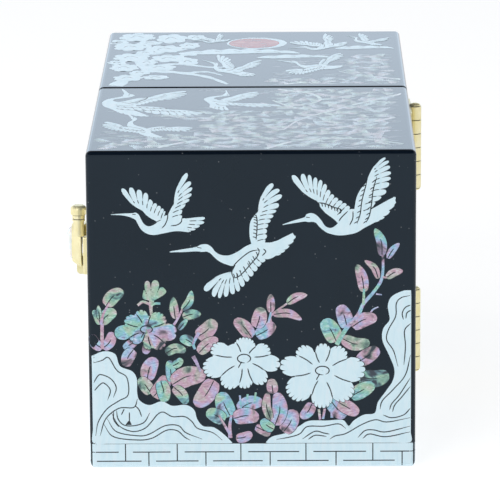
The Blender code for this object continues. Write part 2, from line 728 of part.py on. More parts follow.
def add_countersink(bm, surface, out, plate, about):
    """A countersunk hole through a plate, cut from its outer surface, to take one screw."""
    surface, out = Vector(surface), Vector(out)
    head = screw_head_depth() + SCREW_SUNK
    wide = SCREW_HEAD_RADIUS + SEAT_GAP
    narrow = SCREW_SHANK_RADIUS + SEAT_GAP
    slope = (wide - narrow) / head
    mouth = surface + out * SEAT_GAP
    neck = surface - out * head
    cone = add_cylinder(bm, neck, mouth, narrow, about, SMALL_ROUND_STEPS, wide + slope * SEAT_GAP)
    cone_faces = {face for vert in cone for face in vert.link_faces}
    neck_face = min(cone_faces, key=lambda face: face.calc_center_median().dot(out))
    pulled = bmesh.ops.extrude_face_region(bm, geom=[neck_face])
    moved = [item for item in pulled["geom"] if isinstance(item, bmesh.types.BMVert)]
    bmesh.ops.translate(bm, vec=-out * (plate - head + CUT_OVERRUN), verts=moved)
    bmesh.ops.delete(bm, geom=[neck_face], context="FACES_ONLY")


def countersunk_screw(name, place, plate, facing):
    """One screw in its hole. facing is -1 on the case's front and +1 on its back."""
    depth = screw_head_depth()
    profile = [(0.0, -SCREW_SUNK), (SCREW_HEAD_RADIUS, -SCREW_SUNK),
               (SCREW_SHANK_RADIUS, -SCREW_SUNK - depth), (SCREW_SHANK_RADIUS, -plate), (0.0, -plate)]
    screw = turned(name, profile, place, BRASS, SMALL_ROUND_STEPS)
    screw.rotation_euler = (-facing * math.pi / 2, 0, 0)
    return screw


def screw_row(name, places, plate, facing, pivot=None):
    for number, place in enumerate(places, 1):
        screw = countersunk_screw("%s_%d" % (name, number), place, plate, facing)
        if pivot:
            attach(screw, pivot)


# Clasp
def rounded_plate(name, low, high, finish):
    """A flat plate on the case's front with round corners, bevelled before it is cut."""
    centre = middle(low, high)
    bm = bmesh.new()
    add_box(bm, low, high, centre)
    corners = [e for e in bm.edges if abs(e.verts[0].co.y - e.verts[1].co.y) > MERGE_DISTANCE]
    bmesh.ops.bevel(bm, geom=corners, offset=CLASP_PLATE_CORNER, segments=EDGE_SEGMENTS,
                    profile=ROUND_PROFILE, affect="EDGES", clamp_overlap=True)
    return add_part(name, finish_bmesh(bm, name), centre, finish)


def knob_bottom():
    return CLASP_HEIGHT_CENTRE + CLASP_PLATE_HEIGHT / 2 - CLASP_KNOB_HEIGHT


def knuckle_levels():
    """Bottom and top of the flap's knuckle, under the washer."""
    top = knob_bottom() - CLASP_WASHER_THICKNESS - 2 * SEAT_GAP
    return top - CLASP_KNUCKLE_HEIGHT, top


def clasp_plate(name, side):
    """The screwed plate on one half, beside the seam."""
    ends = sorted((side * (SEAM_X + CLASP_SEAM_INSET),
                   side * (SEAM_X + CLASP_SEAM_INSET + CLASP_PLATE_WIDTH)))
    back = FRONT_Y - SEAT_GAP
    low = (ends[0], back - CLASP_PLATE_THICKNESS, CLASP_HEIGHT_CENTRE - CLASP_PLATE_HEIGHT / 2)
    high = (ends[1], back, CLASP_HEIGHT_CENTRE + CLASP_PLATE_HEIGHT / 2)
    return rounded_plate(name, low, high, BRASS)


def clasp_base(pivot):
    """The plate on the right half: a round-topped knob holds the pin, and a rib carries the knuckle."""
    base = clasp_plate("clasp_base", 1)
    about = world_place(base)
    axis_y = FRONT_Y - CLASP_AXIS_OUT
    inside = FRONT_Y - SEAT_GAP - CLASP_PLATE_THICKNESS / 2
    bottom = knob_bottom()
    top = bottom + CLASP_KNOB_HEIGHT
    rib_top = knuckle_levels()[0] - SEAT_GAP
    knob, web, rib = bmesh.new(), bmesh.new(), bmesh.new()
    add_cylinder(knob, (CLASP_AXIS_X, axis_y, bottom), (CLASP_AXIS_X, axis_y, top), CLASP_KNOB_RADIUS,
                 about)
    crown = [e for e in knob.edges if all(v.co.z > top - about.z - MERGE_DISTANCE for v in e.verts)]
    bmesh.ops.bevel(knob, geom=crown, offset=CLASP_KNOB_ROUND, segments=EDGE_SEGMENTS,
                    profile=ROUND_PROFILE, affect="EDGES", clamp_overlap=True)
    add_box(web, (CLASP_AXIS_X - CLASP_WEB_WIDTH / 2, axis_y, bottom + SEAT_GAP),
            (CLASP_AXIS_X + CLASP_WEB_WIDTH / 2, inside, bottom + CLASP_WEB_HEIGHT), about)
    add_box(rib, (CLASP_AXIS_X - CLASP_WEB_WIDTH / 2, FRONT_Y - CLASP_RIB_OUT, rib_top - CLASP_RIB_LENGTH),
            (CLASP_AXIS_X + CLASP_WEB_WIDTH / 2, inside, rib_top), about)
    for label, body in (("knob", knob), ("web", web), ("rib", rib)):
        name = "clasp_base_" + label
        cutter = add_cutter(name, finish_bmesh(body, name), about)
        if label == "rib":
            add_bevel(cutter, CLASP_RIB_EDGE)
        add_boolean(base, "UNION", cutter)
    bores = bmesh.new()
    add_cylinder(bores, (CLASP_AXIS_X, axis_y, bottom - SEAT_GAP),
                 (CLASP_AXIS_X, axis_y, bottom + CLASP_PIN_IN_KNOB + SEAT_GAP),
                 CLASP_PIN_RADIUS + SEAT_GAP, about, SMALL_ROUND_STEPS)
    for place in clasp_screw_places(1):
        add_countersink(bores, place, (0, -1, 0), CLASP_PLATE_THICKNESS, about)
    cutter = add_cutter("clasp_base_bores", finish_bmesh(bores, "clasp_base_bores"), about)
    add_boolean(base, "DIFFERENCE", cutter)
    attach(base, pivot)


def clasp_screw_places(side):
    outer = FRONT_Y - SEAT_GAP - CLASP_PLATE_THICKNESS
    across = side * (SEAM_X + CLASP_SEAM_INSET + CLASP_PLATE_WIDTH * CLASP_SCREW_ACROSS_SHARE)
    up = CLASP_PLATE_HEIGHT * CLASP_SCREW_HEIGHT_SHARE
    return [(across, outer, CLASP_HEIGHT_CENTRE + sign * up) for sign in (-1, 1)]


def clasp_pin(pivot):
    """A blind pin, fixed in the knob, that the knuckle turns on."""
    bottom = knuckle_levels()[1] - CLASP_PIN_IN_KNUCKLE
    top = knob_bottom() + CLASP_PIN_IN_KNOB
    about = Vector((CLASP_AXIS_X, FRONT_Y - CLASP_AXIS_OUT, (bottom + top) / 2))
    bm = bmesh.new()
    add_cylinder(bm, (about.x, about.y, bottom), (about.x, about.y, top), CLASP_PIN_RADIUS, about,
                 SMALL_ROUND_STEPS)
    pin = add_part("clasp_pin", finish_bmesh(bm, "clasp_pin"), about, BRASS)
    shade_round(pin)
    attach(pin, pivot)


def clasp_washer(pivot):
    """The ring between the knob and the flap's knuckle."""
    top = knob_bottom() - SEAT_GAP
    bore = CLASP_PIN_RADIUS + SEAT_GAP
    half = CLASP_WASHER_THICKNESS / 2
    ring = [(CLASP_WASHER_RADIUS, half), (CLASP_WASHER_RADIUS, -half), (bore, -half), (bore, half),
            (CLASP_WASHER_RADIUS, half)]
    place = (CLASP_AXIS_X, FRONT_Y - CLASP_AXIS_OUT, top - half)
    washer = turned("clasp_washer", ring, place, BRASS, SMALL_ROUND_STEPS)
    weld = washer.modifiers.new("Weld", "WELD")
    weld.merge_threshold = MERGE_DISTANCE
    attach(washer, pivot)


def flap_back():
    return KEEPER_HEIGHT + FLAP_CLEARANCE


def bezel_levels():
    """Distances out and shares of the oval: the mount draws in faster the nearer it comes to its rim."""
    back, depth = flap_back(), FLAP_THICKNESS + BEZEL_RISE
    steps = [i / BEZEL_RINGS for i in range(BEZEL_RINGS + 1)]
    return [(back + depth * s, 1 - (1 - BEZEL_RIM_SHARE) * s ** BEZEL_CURVE) for s in steps]


def cup_half_sizes():
    return BEZEL_HALF_WIDTH * BEZEL_RIM_SHARE - BEZEL_WALL, BEZEL_HALF_HEIGHT * BEZEL_RIM_SHARE - BEZEL_WALL


def clasp_flap(pivot):
    """The swinging piece: a knuckle, an arm, an oval mount with the cabochon's cup, and a thumb tab."""
    centre = (BEZEL_CENTRE_X, BEZEL_CENTRE_HEIGHT)
    about = world_place(pivot)
    back = flap_back()
    rim = back + FLAP_THICKNESS + BEZEL_RISE
    bm = bmesh.new()
    add_oval_loft(bm, BEZEL_HALF_WIDTH, BEZEL_HALF_HEIGHT, bezel_levels(), centre, about)
    flap = add_part("clasp_flap", finish_bmesh(bm, "clasp_flap"), about, BRASS)

    bottom, top = knuckle_levels()
    axis_y = FRONT_Y - CLASP_AXIS_OUT
    knuckle, collar, arm, tab, cup, bore = (bmesh.new() for _ in range(6))
    add_cylinder(knuckle, (CLASP_AXIS_X, axis_y, bottom), (CLASP_AXIS_X, axis_y, top - CLASP_COLLAR_HEIGHT / 2),
                 CLASP_KNUCKLE_RADIUS, about)
    add_cylinder(collar, (CLASP_AXIS_X, axis_y, top - CLASP_COLLAR_HEIGHT), (CLASP_AXIS_X, axis_y, top),
                 CLASP_WASHER_RADIUS, about)
    add_box(arm, (centre[0], FRONT_Y - back - FLAP_THICKNESS, bottom + THUMB_TAB_EDGE),
            (CLASP_AXIS_X, FRONT_Y - back, top - CLASP_COLLAR_HEIGHT - THUMB_TAB_EDGE), about)
    add_box(tab, (centre[0] - BEZEL_HALF_WIDTH - THUMB_TAB_LENGTH, FRONT_Y - back - FLAP_THICKNESS,
                  centre[1] - THUMB_TAB_WIDTH / 2),
            (centre[0], FRONT_Y - back, centre[1] + THUMB_TAB_WIDTH / 2), about)
    cup_width, cup_height = cup_half_sizes()
    cup_levels = ((rim - CABOCHON_SINK - SEAT_GAP, 1), (rim + CUT_OVERRUN, 1))
    add_oval_loft(cup, cup_width, cup_height, cup_levels, centre, about)
    add_cylinder(bore, (CLASP_AXIS_X, axis_y, top - CLASP_PIN_IN_KNUCKLE - SEAT_GAP),
                 (CLASP_AXIS_X, axis_y, top + CUT_OVERRUN), CLASP_PIN_RADIUS + SEAT_GAP, about,
                 SMALL_ROUND_STEPS)
    steps = (("knuckle", "UNION", knuckle), ("collar", "UNION", collar), ("arm", "UNION", arm),
             ("tab", "UNION", tab), ("cup", "DIFFERENCE", cup), ("bore", "DIFFERENCE", bore))
    for label, operation, body in steps:
        name = "clasp_flap_" + label
        cutter = add_cutter(name, finish_bmesh(body, name), about)
        if label == "tab":
            add_bevel(cutter, THUMB_TAB_EDGE)
        add_boolean(flap, operation, cutter)
        attach(cutter, pivot)
    attach(flap, pivot)


def clasp_cabochon(pivot):
    """A domed oval of shell seated in the cup: shrinking oval rings that follow a quarter ellipse."""
    centre = (BEZEL_CENTRE_X, BEZEL_CENTRE_HEIGHT)
    rim = flap_back() + FLAP_THICKNESS + BEZEL_RISE
    half_width, half_height = (half - SEAT_GAP for half in cup_half_sizes())
    levels = [(rim - CABOCHON_SINK, 1.0)]
    for i in range(CABOCHON_RINGS):
        angle = math.pi / 2 * i / CABOCHON_RINGS
        levels.append((rim + CABOCHON_RISE * math.sin(angle), math.cos(angle)))
    about = Vector((centre[0], FRONT_Y - rim, centre[1]))
    bm = bmesh.new()
    rings = []
    for out, share in levels:
        rings.append([bm.verts.new((across * share, rim - out, up * share))
                      for across, up in oval_points(half_width, half_height)])
    tip = bm.verts.new((0, -CABOCHON_RISE, 0))
    bm.faces.new(rings[0])
    for first, second in zip(rings, rings[1:]):
        for i in range(OVAL_STEPS):
            j = (i + 1) % OVAL_STEPS
            bm.faces.new((first[i], first[j], second[j], second[i]))
    for i in range(OVAL_STEPS):
        bm.faces.new((rings[-1][i], rings[-1][(i + 1) % OVAL_STEPS], tip))
    cabochon = add_part("clasp_cabochon", finish_bmesh(bm, "clasp_cabochon"), about, SHELL_WHITE)
    shade_round(cabochon)
    attach(cabochon, pivot)


def clasp_keeper():
    """The catch on the left half: a post behind the flap, with a foot that the mount's lower end drops into."""
    keeper = clasp_plate("clasp_keeper", -1)
    about = world_place(keeper)
    right = -SEAM_X - CLASP_SEAM_INSET - KEEPER_INSET
    left = right - KEEPER_WIDTH
    inside = FRONT_Y - SEAT_GAP - CLASP_PLATE_THICKNESS / 2
    plate_bottom = CLASP_HEIGHT_CENTRE - CLASP_PLATE_HEIGHT / 2
    post, foot, pocket = bmesh.new(), bmesh.new(), bmesh.new()
    low = plate_bottom + KEEPER_FOOT_ROUND
    add_box(post, (left, FRONT_Y - KEEPER_HEIGHT, low), (right, inside, low + KEEPER_TALL), about)
    add_box(foot, (left - KEEPER_FOOT_SPREAD, FRONT_Y - KEEPER_FOOT_OUT, plate_bottom + KEEPER_FOOT_SPREAD),
            (right + KEEPER_FOOT_SPREAD, inside, plate_bottom + KEEPER_FOOT_TALL), about)
    nose = [e for e in foot.edges if all(v.co.y < FRONT_Y - KEEPER_HEIGHT - about.y for v in e.verts)
            and all(v.co.z < 0 for v in e.verts) and abs(e.verts[0].co.x - e.verts[1].co.x) > MERGE_DISTANCE]
    nose = sorted(nose, key=lambda e: e.verts[0].co.z)[:1]
    bmesh.ops.bevel(foot, geom=nose, offset=KEEPER_FOOT_ROUND, segments=EDGE_SEGMENTS,
                    profile=ROUND_PROFILE, affect="EDGES", clamp_overlap=True)
    add_oval_loft(pocket, BEZEL_HALF_WIDTH + KEEPER_POCKET_CLEARANCE, BEZEL_HALF_HEIGHT + KEEPER_POCKET_CLEARANCE,
                  ((KEEPER_HEIGHT - KEEPER_EDGE_RADIUS, 1), (KEEPER_FOOT_OUT + CUT_OVERRUN, 1)),
                  (BEZEL_CENTRE_X, BEZEL_CENTRE_HEIGHT), about)
    post_body = add_cutter("keeper_post", finish_bmesh(post, "keeper_post"), about)
    foot_body = add_cutter("keeper_foot", finish_bmesh(foot, "keeper_foot"), about)
    pocket_cutter = add_cutter("keeper_pocket", finish_bmesh(pocket, "keeper_pocket"), about)
    add_bevel(post_body, KEEPER_EDGE_RADIUS)
    add_boolean(foot_body, "DIFFERENCE", pocket_cutter)
    add_boolean(keeper, "UNION", foot_body)
    add_boolean(keeper, "UNION", post_body)
    holes = bmesh.new()
    for place in clasp_screw_places(-1):
        add_countersink(holes, place, (0, -1, 0), CLASP_PLATE_THICKNESS, about)
    cutter = add_cutter("keeper_holes", finish_bmesh(holes, "keeper_holes"), about)
    add_boolean(keeper, "DIFFERENCE", cutter)


def build():
    hinge_pivot = add_pivot("case_hinge", (0, HINGE_AXIS_Y, 0))
    clasp_pivot = add_pivot("clasp_hinge", (CLASP_AXIS_X, FRONT_Y - CLASP_AXIS_OUT, CLASP_HEIGHT_CENTRE),
                            hinge_pivot)

    case_half("left_case", -1)
    right_case = case_half("right_case", 1)
    attach(right_case, hinge_pivot)

    for index in range(DRAWER_COUNT - 1):
        shelf(index)
    pivots = []
    for index in range(DRAWER_COUNT):
        low, high = drawer_box(index)[0]
        pivots.append(add_pivot("drawer_slide_%d" % (index + 1), middle(low, high)))
        drawer(index, pivots[index])
    pad_tops = [drawer_pad(index, pivots[index]) for index in range(DRAWER_COUNT - 1)]
    drawer_dividers(DRAWER_COUNT - 2, pad_tops[-1], pivots[-2])
    ring_cushion(DRAWER_COUNT - 1, pivots[-1])

    mirror(hinge_pivot)
    hook_rail(hinge_pivot)
    necklace_pocket(hinge_pivot)

    leaf_face = BACK_Y + SEAT_GAP + HINGE_LEAF_THICKNESS
    bottoms = {"upper": CASE_HEIGHT - HINGE_TOP_INSET - HINGE_LENGTH, "lower": HINGE_BOTTOM_INSET}
    for label, bottom in bottoms.items():
        hinge_leaf(label + "_hinge_left_leaf", -1, bottom)
        attach(hinge_leaf(label + "_hinge_right_leaf", 1, bottom), hinge_pivot)
        hinge_pin(label + "_hinge_pin", bottom)
    for label, side, pivot in (("left", -1, None), ("right", 1, hinge_pivot)):
        places = [(x, leaf_face, z) for bottom in bottoms.values() for x, z in screw_places(side, bottom)]
        screw_row("hinge_screw_" + label, places, HINGE_LEAF_THICKNESS, 1, pivot)

    clasp_keeper()
    screw_row("keeper_screw", clasp_screw_places(-1), CLASP_PLATE_THICKNESS, -1)
    clasp_base(hinge_pivot)
    screw_row("clasp_screw", clasp_screw_places(1), CLASP_PLATE_THICKNESS, -1, hinge_pivot)
    clasp_pin(hinge_pivot)
    clasp_washer(hinge_pivot)
    clasp_flap(clasp_pivot)
    clasp_cabochon(clasp_pivot)


clear_scene()
parts_collection = make_collection("jewellery_box")
cutters_collection = make_collection("cutters")
build()
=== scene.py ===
import bpy
import numpy as np
from mathutils import Matrix, Vector


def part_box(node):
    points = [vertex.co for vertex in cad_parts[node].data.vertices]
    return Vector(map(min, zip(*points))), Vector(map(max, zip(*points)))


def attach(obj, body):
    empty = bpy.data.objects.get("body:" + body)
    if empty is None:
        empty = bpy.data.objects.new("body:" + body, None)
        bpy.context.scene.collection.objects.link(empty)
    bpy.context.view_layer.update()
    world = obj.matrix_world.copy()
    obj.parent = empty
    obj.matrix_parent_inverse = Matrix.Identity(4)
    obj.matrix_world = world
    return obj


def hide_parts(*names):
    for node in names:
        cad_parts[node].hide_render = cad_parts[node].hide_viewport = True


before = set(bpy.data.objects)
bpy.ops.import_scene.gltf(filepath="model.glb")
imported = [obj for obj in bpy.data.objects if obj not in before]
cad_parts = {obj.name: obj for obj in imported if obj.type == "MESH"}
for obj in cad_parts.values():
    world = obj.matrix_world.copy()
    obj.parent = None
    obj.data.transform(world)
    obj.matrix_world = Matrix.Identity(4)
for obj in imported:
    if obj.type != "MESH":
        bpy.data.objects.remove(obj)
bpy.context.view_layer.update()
print("frame loaded:", len(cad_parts), "nodes")


def hexColour(text):
    # "#rrggbb" in sRGB to linear red, green, blue and alpha
    part = np.array([int(text[i:i + 2], 16) / 255 for i in (1, 3, 5)])
    part = np.where(part < 0.04045, part / 12.92, ((part + 0.055) / 1.055) ** 2.4)
    return (*part.tolist(), 1.0)


def nodeAdder(tree):
    # empties a node tree and gives the function that adds to it. That adds one node with its
    # own options, a ramp's (place, colour) stops, and its sockets: each a value, an output,
    # or a node, which stands for its first output
    def add(kind, sockets=None, stops=(), **settings):
        made = tree.nodes.new("ShaderNode" + kind)
        for name, value in settings.items():
            setattr(made, name, value)
        while stops and len(made.color_ramp.elements) < len(stops):
            made.color_ramp.elements.new(0.5)
        for i, (place, colour) in enumerate(stops):
            made.color_ramp.elements[i].position = place
            made.color_ramp.elements[i].color = hexColour(colour)
        for name, value in (sockets or {}).items():
            value = value.outputs[0] if isinstance(value, bpy.types.Node) else value
            if isinstance(value, bpy.types.NodeSocket):
                tree.links.new(value, made.inputs[name])
            else:
                made.inputs[name].default_value = value
        return made

    tree.nodes.clear()
    return add


def newMaterial(name):
    material = bpy.data.materials.new(name)
    material.use_nodes = True
    return material, nodeAdder(material.node_tree)


def linked(name, data):
    made = bpy.data.objects.new(name, data)
    bpy.context.scene.collection.objects.link(made)
    return made


def meshPiece(name, points, faces):
    mesh = bpy.data.meshes.new(name)
    mesh.from_pydata(np.asarray(points).tolist(), [], np.asarray(faces).tolist())
    return linked(name, mesh)


# camera: solved from eight corners of the case, no shift; angles in degrees
camera = {"place": (1.3889, 0.01509, 0.4119), "lens": 287.47, "sensor": 36, "sees": 20,
          "turn": 0.524, "tilt": 14.60, "roll": -0.388}


def makeCamera(c):
    turn, tilt, roll = np.radians([c["turn"], c["tilt"], c["roll"]])
    ahead = Vector((-np.cos(tilt) * np.cos(turn), -np.cos(tilt) * np.sin(turn), -np.sin(tilt)))
    right = ahead.cross(Vector((0, 0, 1))).normalized()
    up = right.cross(ahead)
    rightNow = right * np.cos(roll) + up * np.sin(roll)
    upNow = up * np.cos(roll) - right * np.sin(roll)
    data = bpy.data.cameras.new("camera")
    data.lens, data.sensor_width, data.clip_end = c["lens"], c["sensor"], c["sees"]
    made = linked("camera", data)
    made.matrix_world = Matrix.Translation(c["place"]) @ \
        Matrix((rightNow, upNow, -ahead)).transposed().to_4x4()
    bpy.context.scene.camera = made


# light: a bright low surround with a dark ceiling, four soft boxes, a white floor. A lamp is
# its place, size, power, colour, what it aims at, and whether reflections show it
studio = {
    "horizon": "#ffffff", "ceiling": "#121417", "litShade": (0.24, 0.5), "seenShade": (0.42, 0.66),
    "floorColour": "#b4b5b6", "floorGlow": 0.76, "floorReach": 4.0, "floorHeight": -0.0001,
    "lamps": {
        "key_box": ((1.3, -0.75, 0.95), (0.9, 0.9), 8.6, "#ffffff", (0, 0, 0.055), True),
        "back_box": ((-1.7, 0.0, 0.40), (1.9, 0.62), 3.4, "#b4dcff", (0, 0, 0.11), True),
        "over_box": ((0.1, 0.0, 1.3), (1.2, 1.2), 6.5, "#ffffff", (0, 0, 0.055), False),
        "side_box": ((-0.15, -1.3, 0.30), (0.9, 0.5), 4.5, "#ffffff", (0, 0, 0.055), False)}}


def makeLamp(name, place, size, power, colour, aim, mirrored):
    data = bpy.data.lights.new(name, "AREA")
    data.shape, data.energy, data.color = "RECTANGLE", power, hexColour(colour)[:3]
    data.size, data.size_y = size
    made = linked(name, data)
    made.matrix_world = Matrix.Translation(place) @ \
        (Vector(aim) - Vector(place)).to_track_quat("-Z", "Y").to_matrix().to_4x4()
    made.visible_camera, made.visible_glossy = False, mirrored


def makeWorld(s):
    # a shade runs over the sine of the elevation. The one that gives light is white to 14
    # degrees and dark from 30. The camera, polished metal and glass see the other, white to
    # 25 and dark from 41, which draws the black line along the lacquer's rounded edges
    world = bpy.data.worlds.new("studio")
    bpy.context.scene.world = world
    world.use_nodes = True
    add = nodeAdder(world.node_tree)
    height = add("SeparateXYZ", {0: add("TexCoord").outputs["Generated"]}).outputs["Z"]
    surrounds = []
    for white, dark in (s["litShade"], s["seenShade"]):
        shade = add("ValToRGB", {"Fac": height},
                    [(0.0, s["horizon"]), (white, s["horizon"]), (dark, s["ceiling"])])
        shade.color_ramp.interpolation = "EASE"
        surrounds.append(add("Background", {"Color": shade, "Strength": 1.0}))
    path = add("LightPath").outputs
    mirrored = add("Math", {0: path["Is Glossy Ray"], 1: path["Is Transmission Ray"]},
                   operation="MAXIMUM")
    seen = add("Math", {0: path["Is Camera Ray"], 1: mirrored}, operation="MAXIMUM")
    both = add("MixShader", {0: seen, 1: surrounds[0], 2: surrounds[1]})
    add("OutputWorld", {"Surface": both})


def makeFloor(s):
    # paper that glows a little, so that it reads white and still keeps the box's shadow
    corners = [(-1, -1), (1, -1), (1, 1), (-1, 1)]
    made = meshPiece("floor", [(x * s["floorReach"], y * s["floorReach"], s["floorHeight"])
                               for x, y in corners], [range(4)])
    material, add = newMaterial("studioFloorPaper")
    shader = add("BsdfPrincipled", {
        "Base Color": hexColour(s["floorColour"]), "Roughness": 0.9, "Specular IOR Level": 0.0,
        "Emission Color": (1, 1, 1, 1), "Emission Strength": s["floorGlow"]})
    add("OutputMaterial", {"Surface": shader})
    made.data.materials.append(material)


makeCamera(camera)
makeWorld(studio)
makeFloor(studio)
for name, lamp in studio["lamps"].items():
    makeLamp(name, *lamp)
bpy.context.scene.view_settings.view_transform = "Standard"
print("camera, lamps and floor made")


def noisyFinish(name, noises, stops, over=None, rough=None, relief=None, sockets=None):
    # a finish made by named noises on object coordinates. The noise "colour" runs through the
    # colour stops, and over lays something on top. rough is (noise, lowest, highest) and
    # relief is (noise, strength, height in metres). Sizes are feature sizes in metres
    material, add = newMaterial(name)
    point = add("TexCoord").outputs["Object"]
    made = {}
    for key, noise in noises.items():
        n = {"detail": 3.0, "roughness": 0.5, "distortion": 0.0, "turn": (0, 0, 0),
             "stretch": (1, 1, 1), **noise}
        where = add("Mapping", {"Vector": point, "Rotation": n["turn"], "Scale": n["stretch"]})
        made[key] = add("TexNoise", {
            "Vector": where, "Scale": 1 / n["size"], "Detail": n["detail"],
            "Roughness": n["roughness"], "Distortion": n["distortion"]})
    colour = add("ValToRGB", {"Fac": made["colour"]}, stops)
    surface = {"Base Color": over(add, point, colour) if over else colour, **(sockets or {})}
    if rough:
        surface["Roughness"] = add("MapRange", {
            "Value": made[rough[0]], "To Min": rough[1], "To Max": rough[2]})
    if relief:
        surface["Normal"] = add("Bump", {
            "Height": made[relief[0]], "Strength": relief[1], "Distance": relief[2]})
    add("OutputMaterial", {"Surface": add("BsdfPrincipled", surface)})
    return material


def dustSpecks(add, point, colour):
    # a few pale specks, about 3 mm apart
    cells = add("TexVoronoi", {"Vector": point, "Scale": 1 / 0.0031})
    speck = add("MapRange", {"Value": cells, "From Min": 0.085, "From Max": 0.03, "To Max": 0.222})
    return add("Mix", {"Factor": speck, 6: colour, 7: hexColour("#c8ccd0")},
               data_type="RGBA").outputs[2]


def paintedCreaseShade(add, point, colour):
    # painted shade: the colour darkens to olive where ambient occlusion finds creases and hollows,
    # standing in for the shade that falls there
    unoccluded = add("AmbientOcclusion", {"Distance": 0.0016}, samples=8).outputs["AO"]
    creaseShade = add("MapRange", {"Value": unoccluded, "From Min": 0.62, "From Max": 0.12})
    return add("Mix", {"Factor": creaseShade, 6: colour, 7: hexColour("#8c7a34")},
               data_type="RGBA").outputs[2]


def abaloneSheet(name, hues, shine, growth, smoky, share):
    # abalone sheet: each cut piece has its own tone that drifts over 5 to 8 mm through the hues,
    # with soft dull growth streaks and smoky patches, more in a smoky piece. Its bright streaks are
    # painted glints: the shell's flash of light painted into its colour
    material, add = newMaterial(name)
    point = add("TexCoord").outputs["Object"]
    tone = add("Attribute", attribute_name="tone").outputs["Fac"]
    patch = add("TexNoise", {"Vector": point, "Scale": 1 / 0.0052, "Detail": 1.5,
                             "Roughness": 0.45, "Distortion": 0.6})
    drift = add("MapRange", {"Value": patch, "From Min": 0.3, "From Max": 0.7})
    swing = add("Math", {0: drift, 1: 0.58, 2: tone}, operation="MULTIPLY_ADD")
    turn = add("Math", {0: swing}, operation="FRACT")
    stops = [(i / len(hues), hue) for i, hue in enumerate((*hues, hues[0]))]
    colour = add("ValToRGB", {"Fac": turn}, stops)
    lean = add("Mapping", {"Vector": point, "Rotation": (0.9, 0.4, 0.3), "Scale": (1, 1, 2.4)})
    streak = add("TexNoise", {"Vector": lean, "Scale": 1 / 0.0030, "Detail": 3.0,
                              "Roughness": 0.6, "Distortion": 2.2})
    haze = add("TexNoise", {"Vector": point, "Scale": 1 / 0.0052, "Detail": 2.0,
                            "Roughness": 0.5, "Distortion": 0.8})
    smokyPiece = add("Math", {0: tone, 1: 1.0}, operation="GREATER_THAN")
    smoke = add("Math", {0: smokyPiece, 1: -0.12, 2: haze}, operation="MULTIPLY_ADD")
    # shine paints bright glints along the streaks; growth and smoky are darker tones of the shell
    # itself
    for noise, none, full, hue in ((streak, 0.52, 0.86, shine), (streak, 0.45, 0.16, growth),
                                   (smoke, share, share - 0.16, smoky)):
        amount = add("MapRange", {"Value": noise, "From Min": none, "From Max": full})
        colour = add("Mix", {"Factor": amount, 6: colour, 7: hexColour(hue)},
                     data_type="RGBA").outputs[2]
    bump = add("Bump", {"Height": streak, "Strength": 0.08, "Distance": 0.0002})
    shader = add("BsdfPrincipled", {
        "Base Color": colour, "Roughness": 0.2, "IOR": 1.42, "Normal": bump})
    add("OutputMaterial", {"Surface": shader})
    return material


# sprayed and polished black lacquer: near-black blue, mirror gloss, faint orange peel, fine
# rub marks and a few specks of dust
lacquer = noisyFinish(
    "polishedBlackLacquer",
    {"colour": dict(size=0.03, detail=4.0), "peel": dict(size=0.0035, detail=1.0),
     "rubs": dict(size=0.004, turn=(0.3, 0.2, 0.5), stretch=(1, 1, 14))},
    [(0.3, "#0a121c"), (0.7, "#0e1722")], dustSpecks, ("rubs", 0.05, 0.13),
    ("peel", 0.04, 0.0001), {"IOR": 1.40, "Specular Tint": hexColour("#d8f0ff")})
# thin mother-of-pearl sheet under clear lacquer: cool white with soft streaks that turn
# faintly blue and pink, and a polished surface
paleShell = noisyFinish(
    "paleMotherOfPearl",
    {"colour": dict(size=0.006, detail=4.0, roughness=0.6, distortion=0.6, turn=(0.4, 0.1, 0.2),
                    stretch=(1, 3.5, 1)), "grain": dict(size=0.0011)},
    [(0.25, "#c6e0ec"), (0.45, "#cce4ee"), (0.6, "#d1e6ef"), (0.78, "#d5e2ec")],
    rough=("grain", 0.14, 0.26), relief=("grain", 0.05, 0.0001), sockets={"IOR": 1.42})
# shell sheet stained red, for the sun
redShell = noisyFinish(
    "redStainedShell",
    {"colour": dict(size=0.005, roughness=0.6, distortion=0.5), "grain": dict(size=0.0011)},
    [(0.3, "#8e2f2a"), (0.5, "#a8433a"), (0.7, "#bd6a5c")], relief=("grain", 0.05, 0.0001),
    sockets={"Roughness": 0.18, "IOR": 1.42})
# cuts in the shell, and the gaps round it, filled with the lacquer: dark slate, a little uneven
engraved, outlined = [noisyFinish(
    name, {"colour": dict(size=0.002, detail=2.0)}, [(0.3, "#141d24"), (0.7, "#26333b")],
    sockets={"Roughness": 0.25, "IOR": 1.42}) for name in ("lacquerFilledCut", "lacquerOutline")]
finishes = {
    "shell": paleShell, "sun": redShell, "cut": engraved, "under": outlined,
    # after the hues come the colour of the painted glints, the growth streak colour, the smoky
    # colour and the smoky share
    "abalone": abaloneSheet(
        "abaloneShell", ("#c09eb6", "#b4a6cc", "#98b4d6", "#82bccc", "#86c0b2", "#9cbea6",
                         "#b4b0ac", "#ba9aaa"), "#e2eff4", "#46525e", "#37414c", 0.43),
    "pale": abaloneSheet(
        "paleAbaloneShell", ("#d3cdd9", "#cbd5e6", "#c6dcea", "#c6e0e4", "#cde0dc", "#cfd3dc"),
        "#eef6fa", "#a5b3c0", "#94a3b1", 0.40)}
# polished brass-plated steel, pale gold: drawn-metal rub marks, faint finger haze, and olive shade
# painted into its creases
paleBrass = noisyFinish(
    "polishedPaleBrass", {"colour": dict(size=0.004),
                          "rubs": dict(size=0.0003, detail=2.0, stretch=(1, 1, 0.08))},
    [(0.3, "#efe4ac"), (0.7, "#f7efc8")], paintedCreaseShade, ("colour", 0.30, 0.44),
    ("rubs", 0.06, 0.0001), {"Metallic": 0.62})
# domed mother-of-pearl: milky white with drifting blue and rose
cabochonShell = noisyFinish(
    "cabochonMotherOfPearl", {"colour": dict(size=0.004, roughness=0.55, distortion=1.0)},
    [(0.3, "#e6eef2"), (0.5, "#f7f8f7"), (0.7, "#f4ebee")],
    sockets={"Roughness": 0.1, "IOR": 1.53, "Subsurface Weight": 0.1, "Subsurface Scale": 0.001})
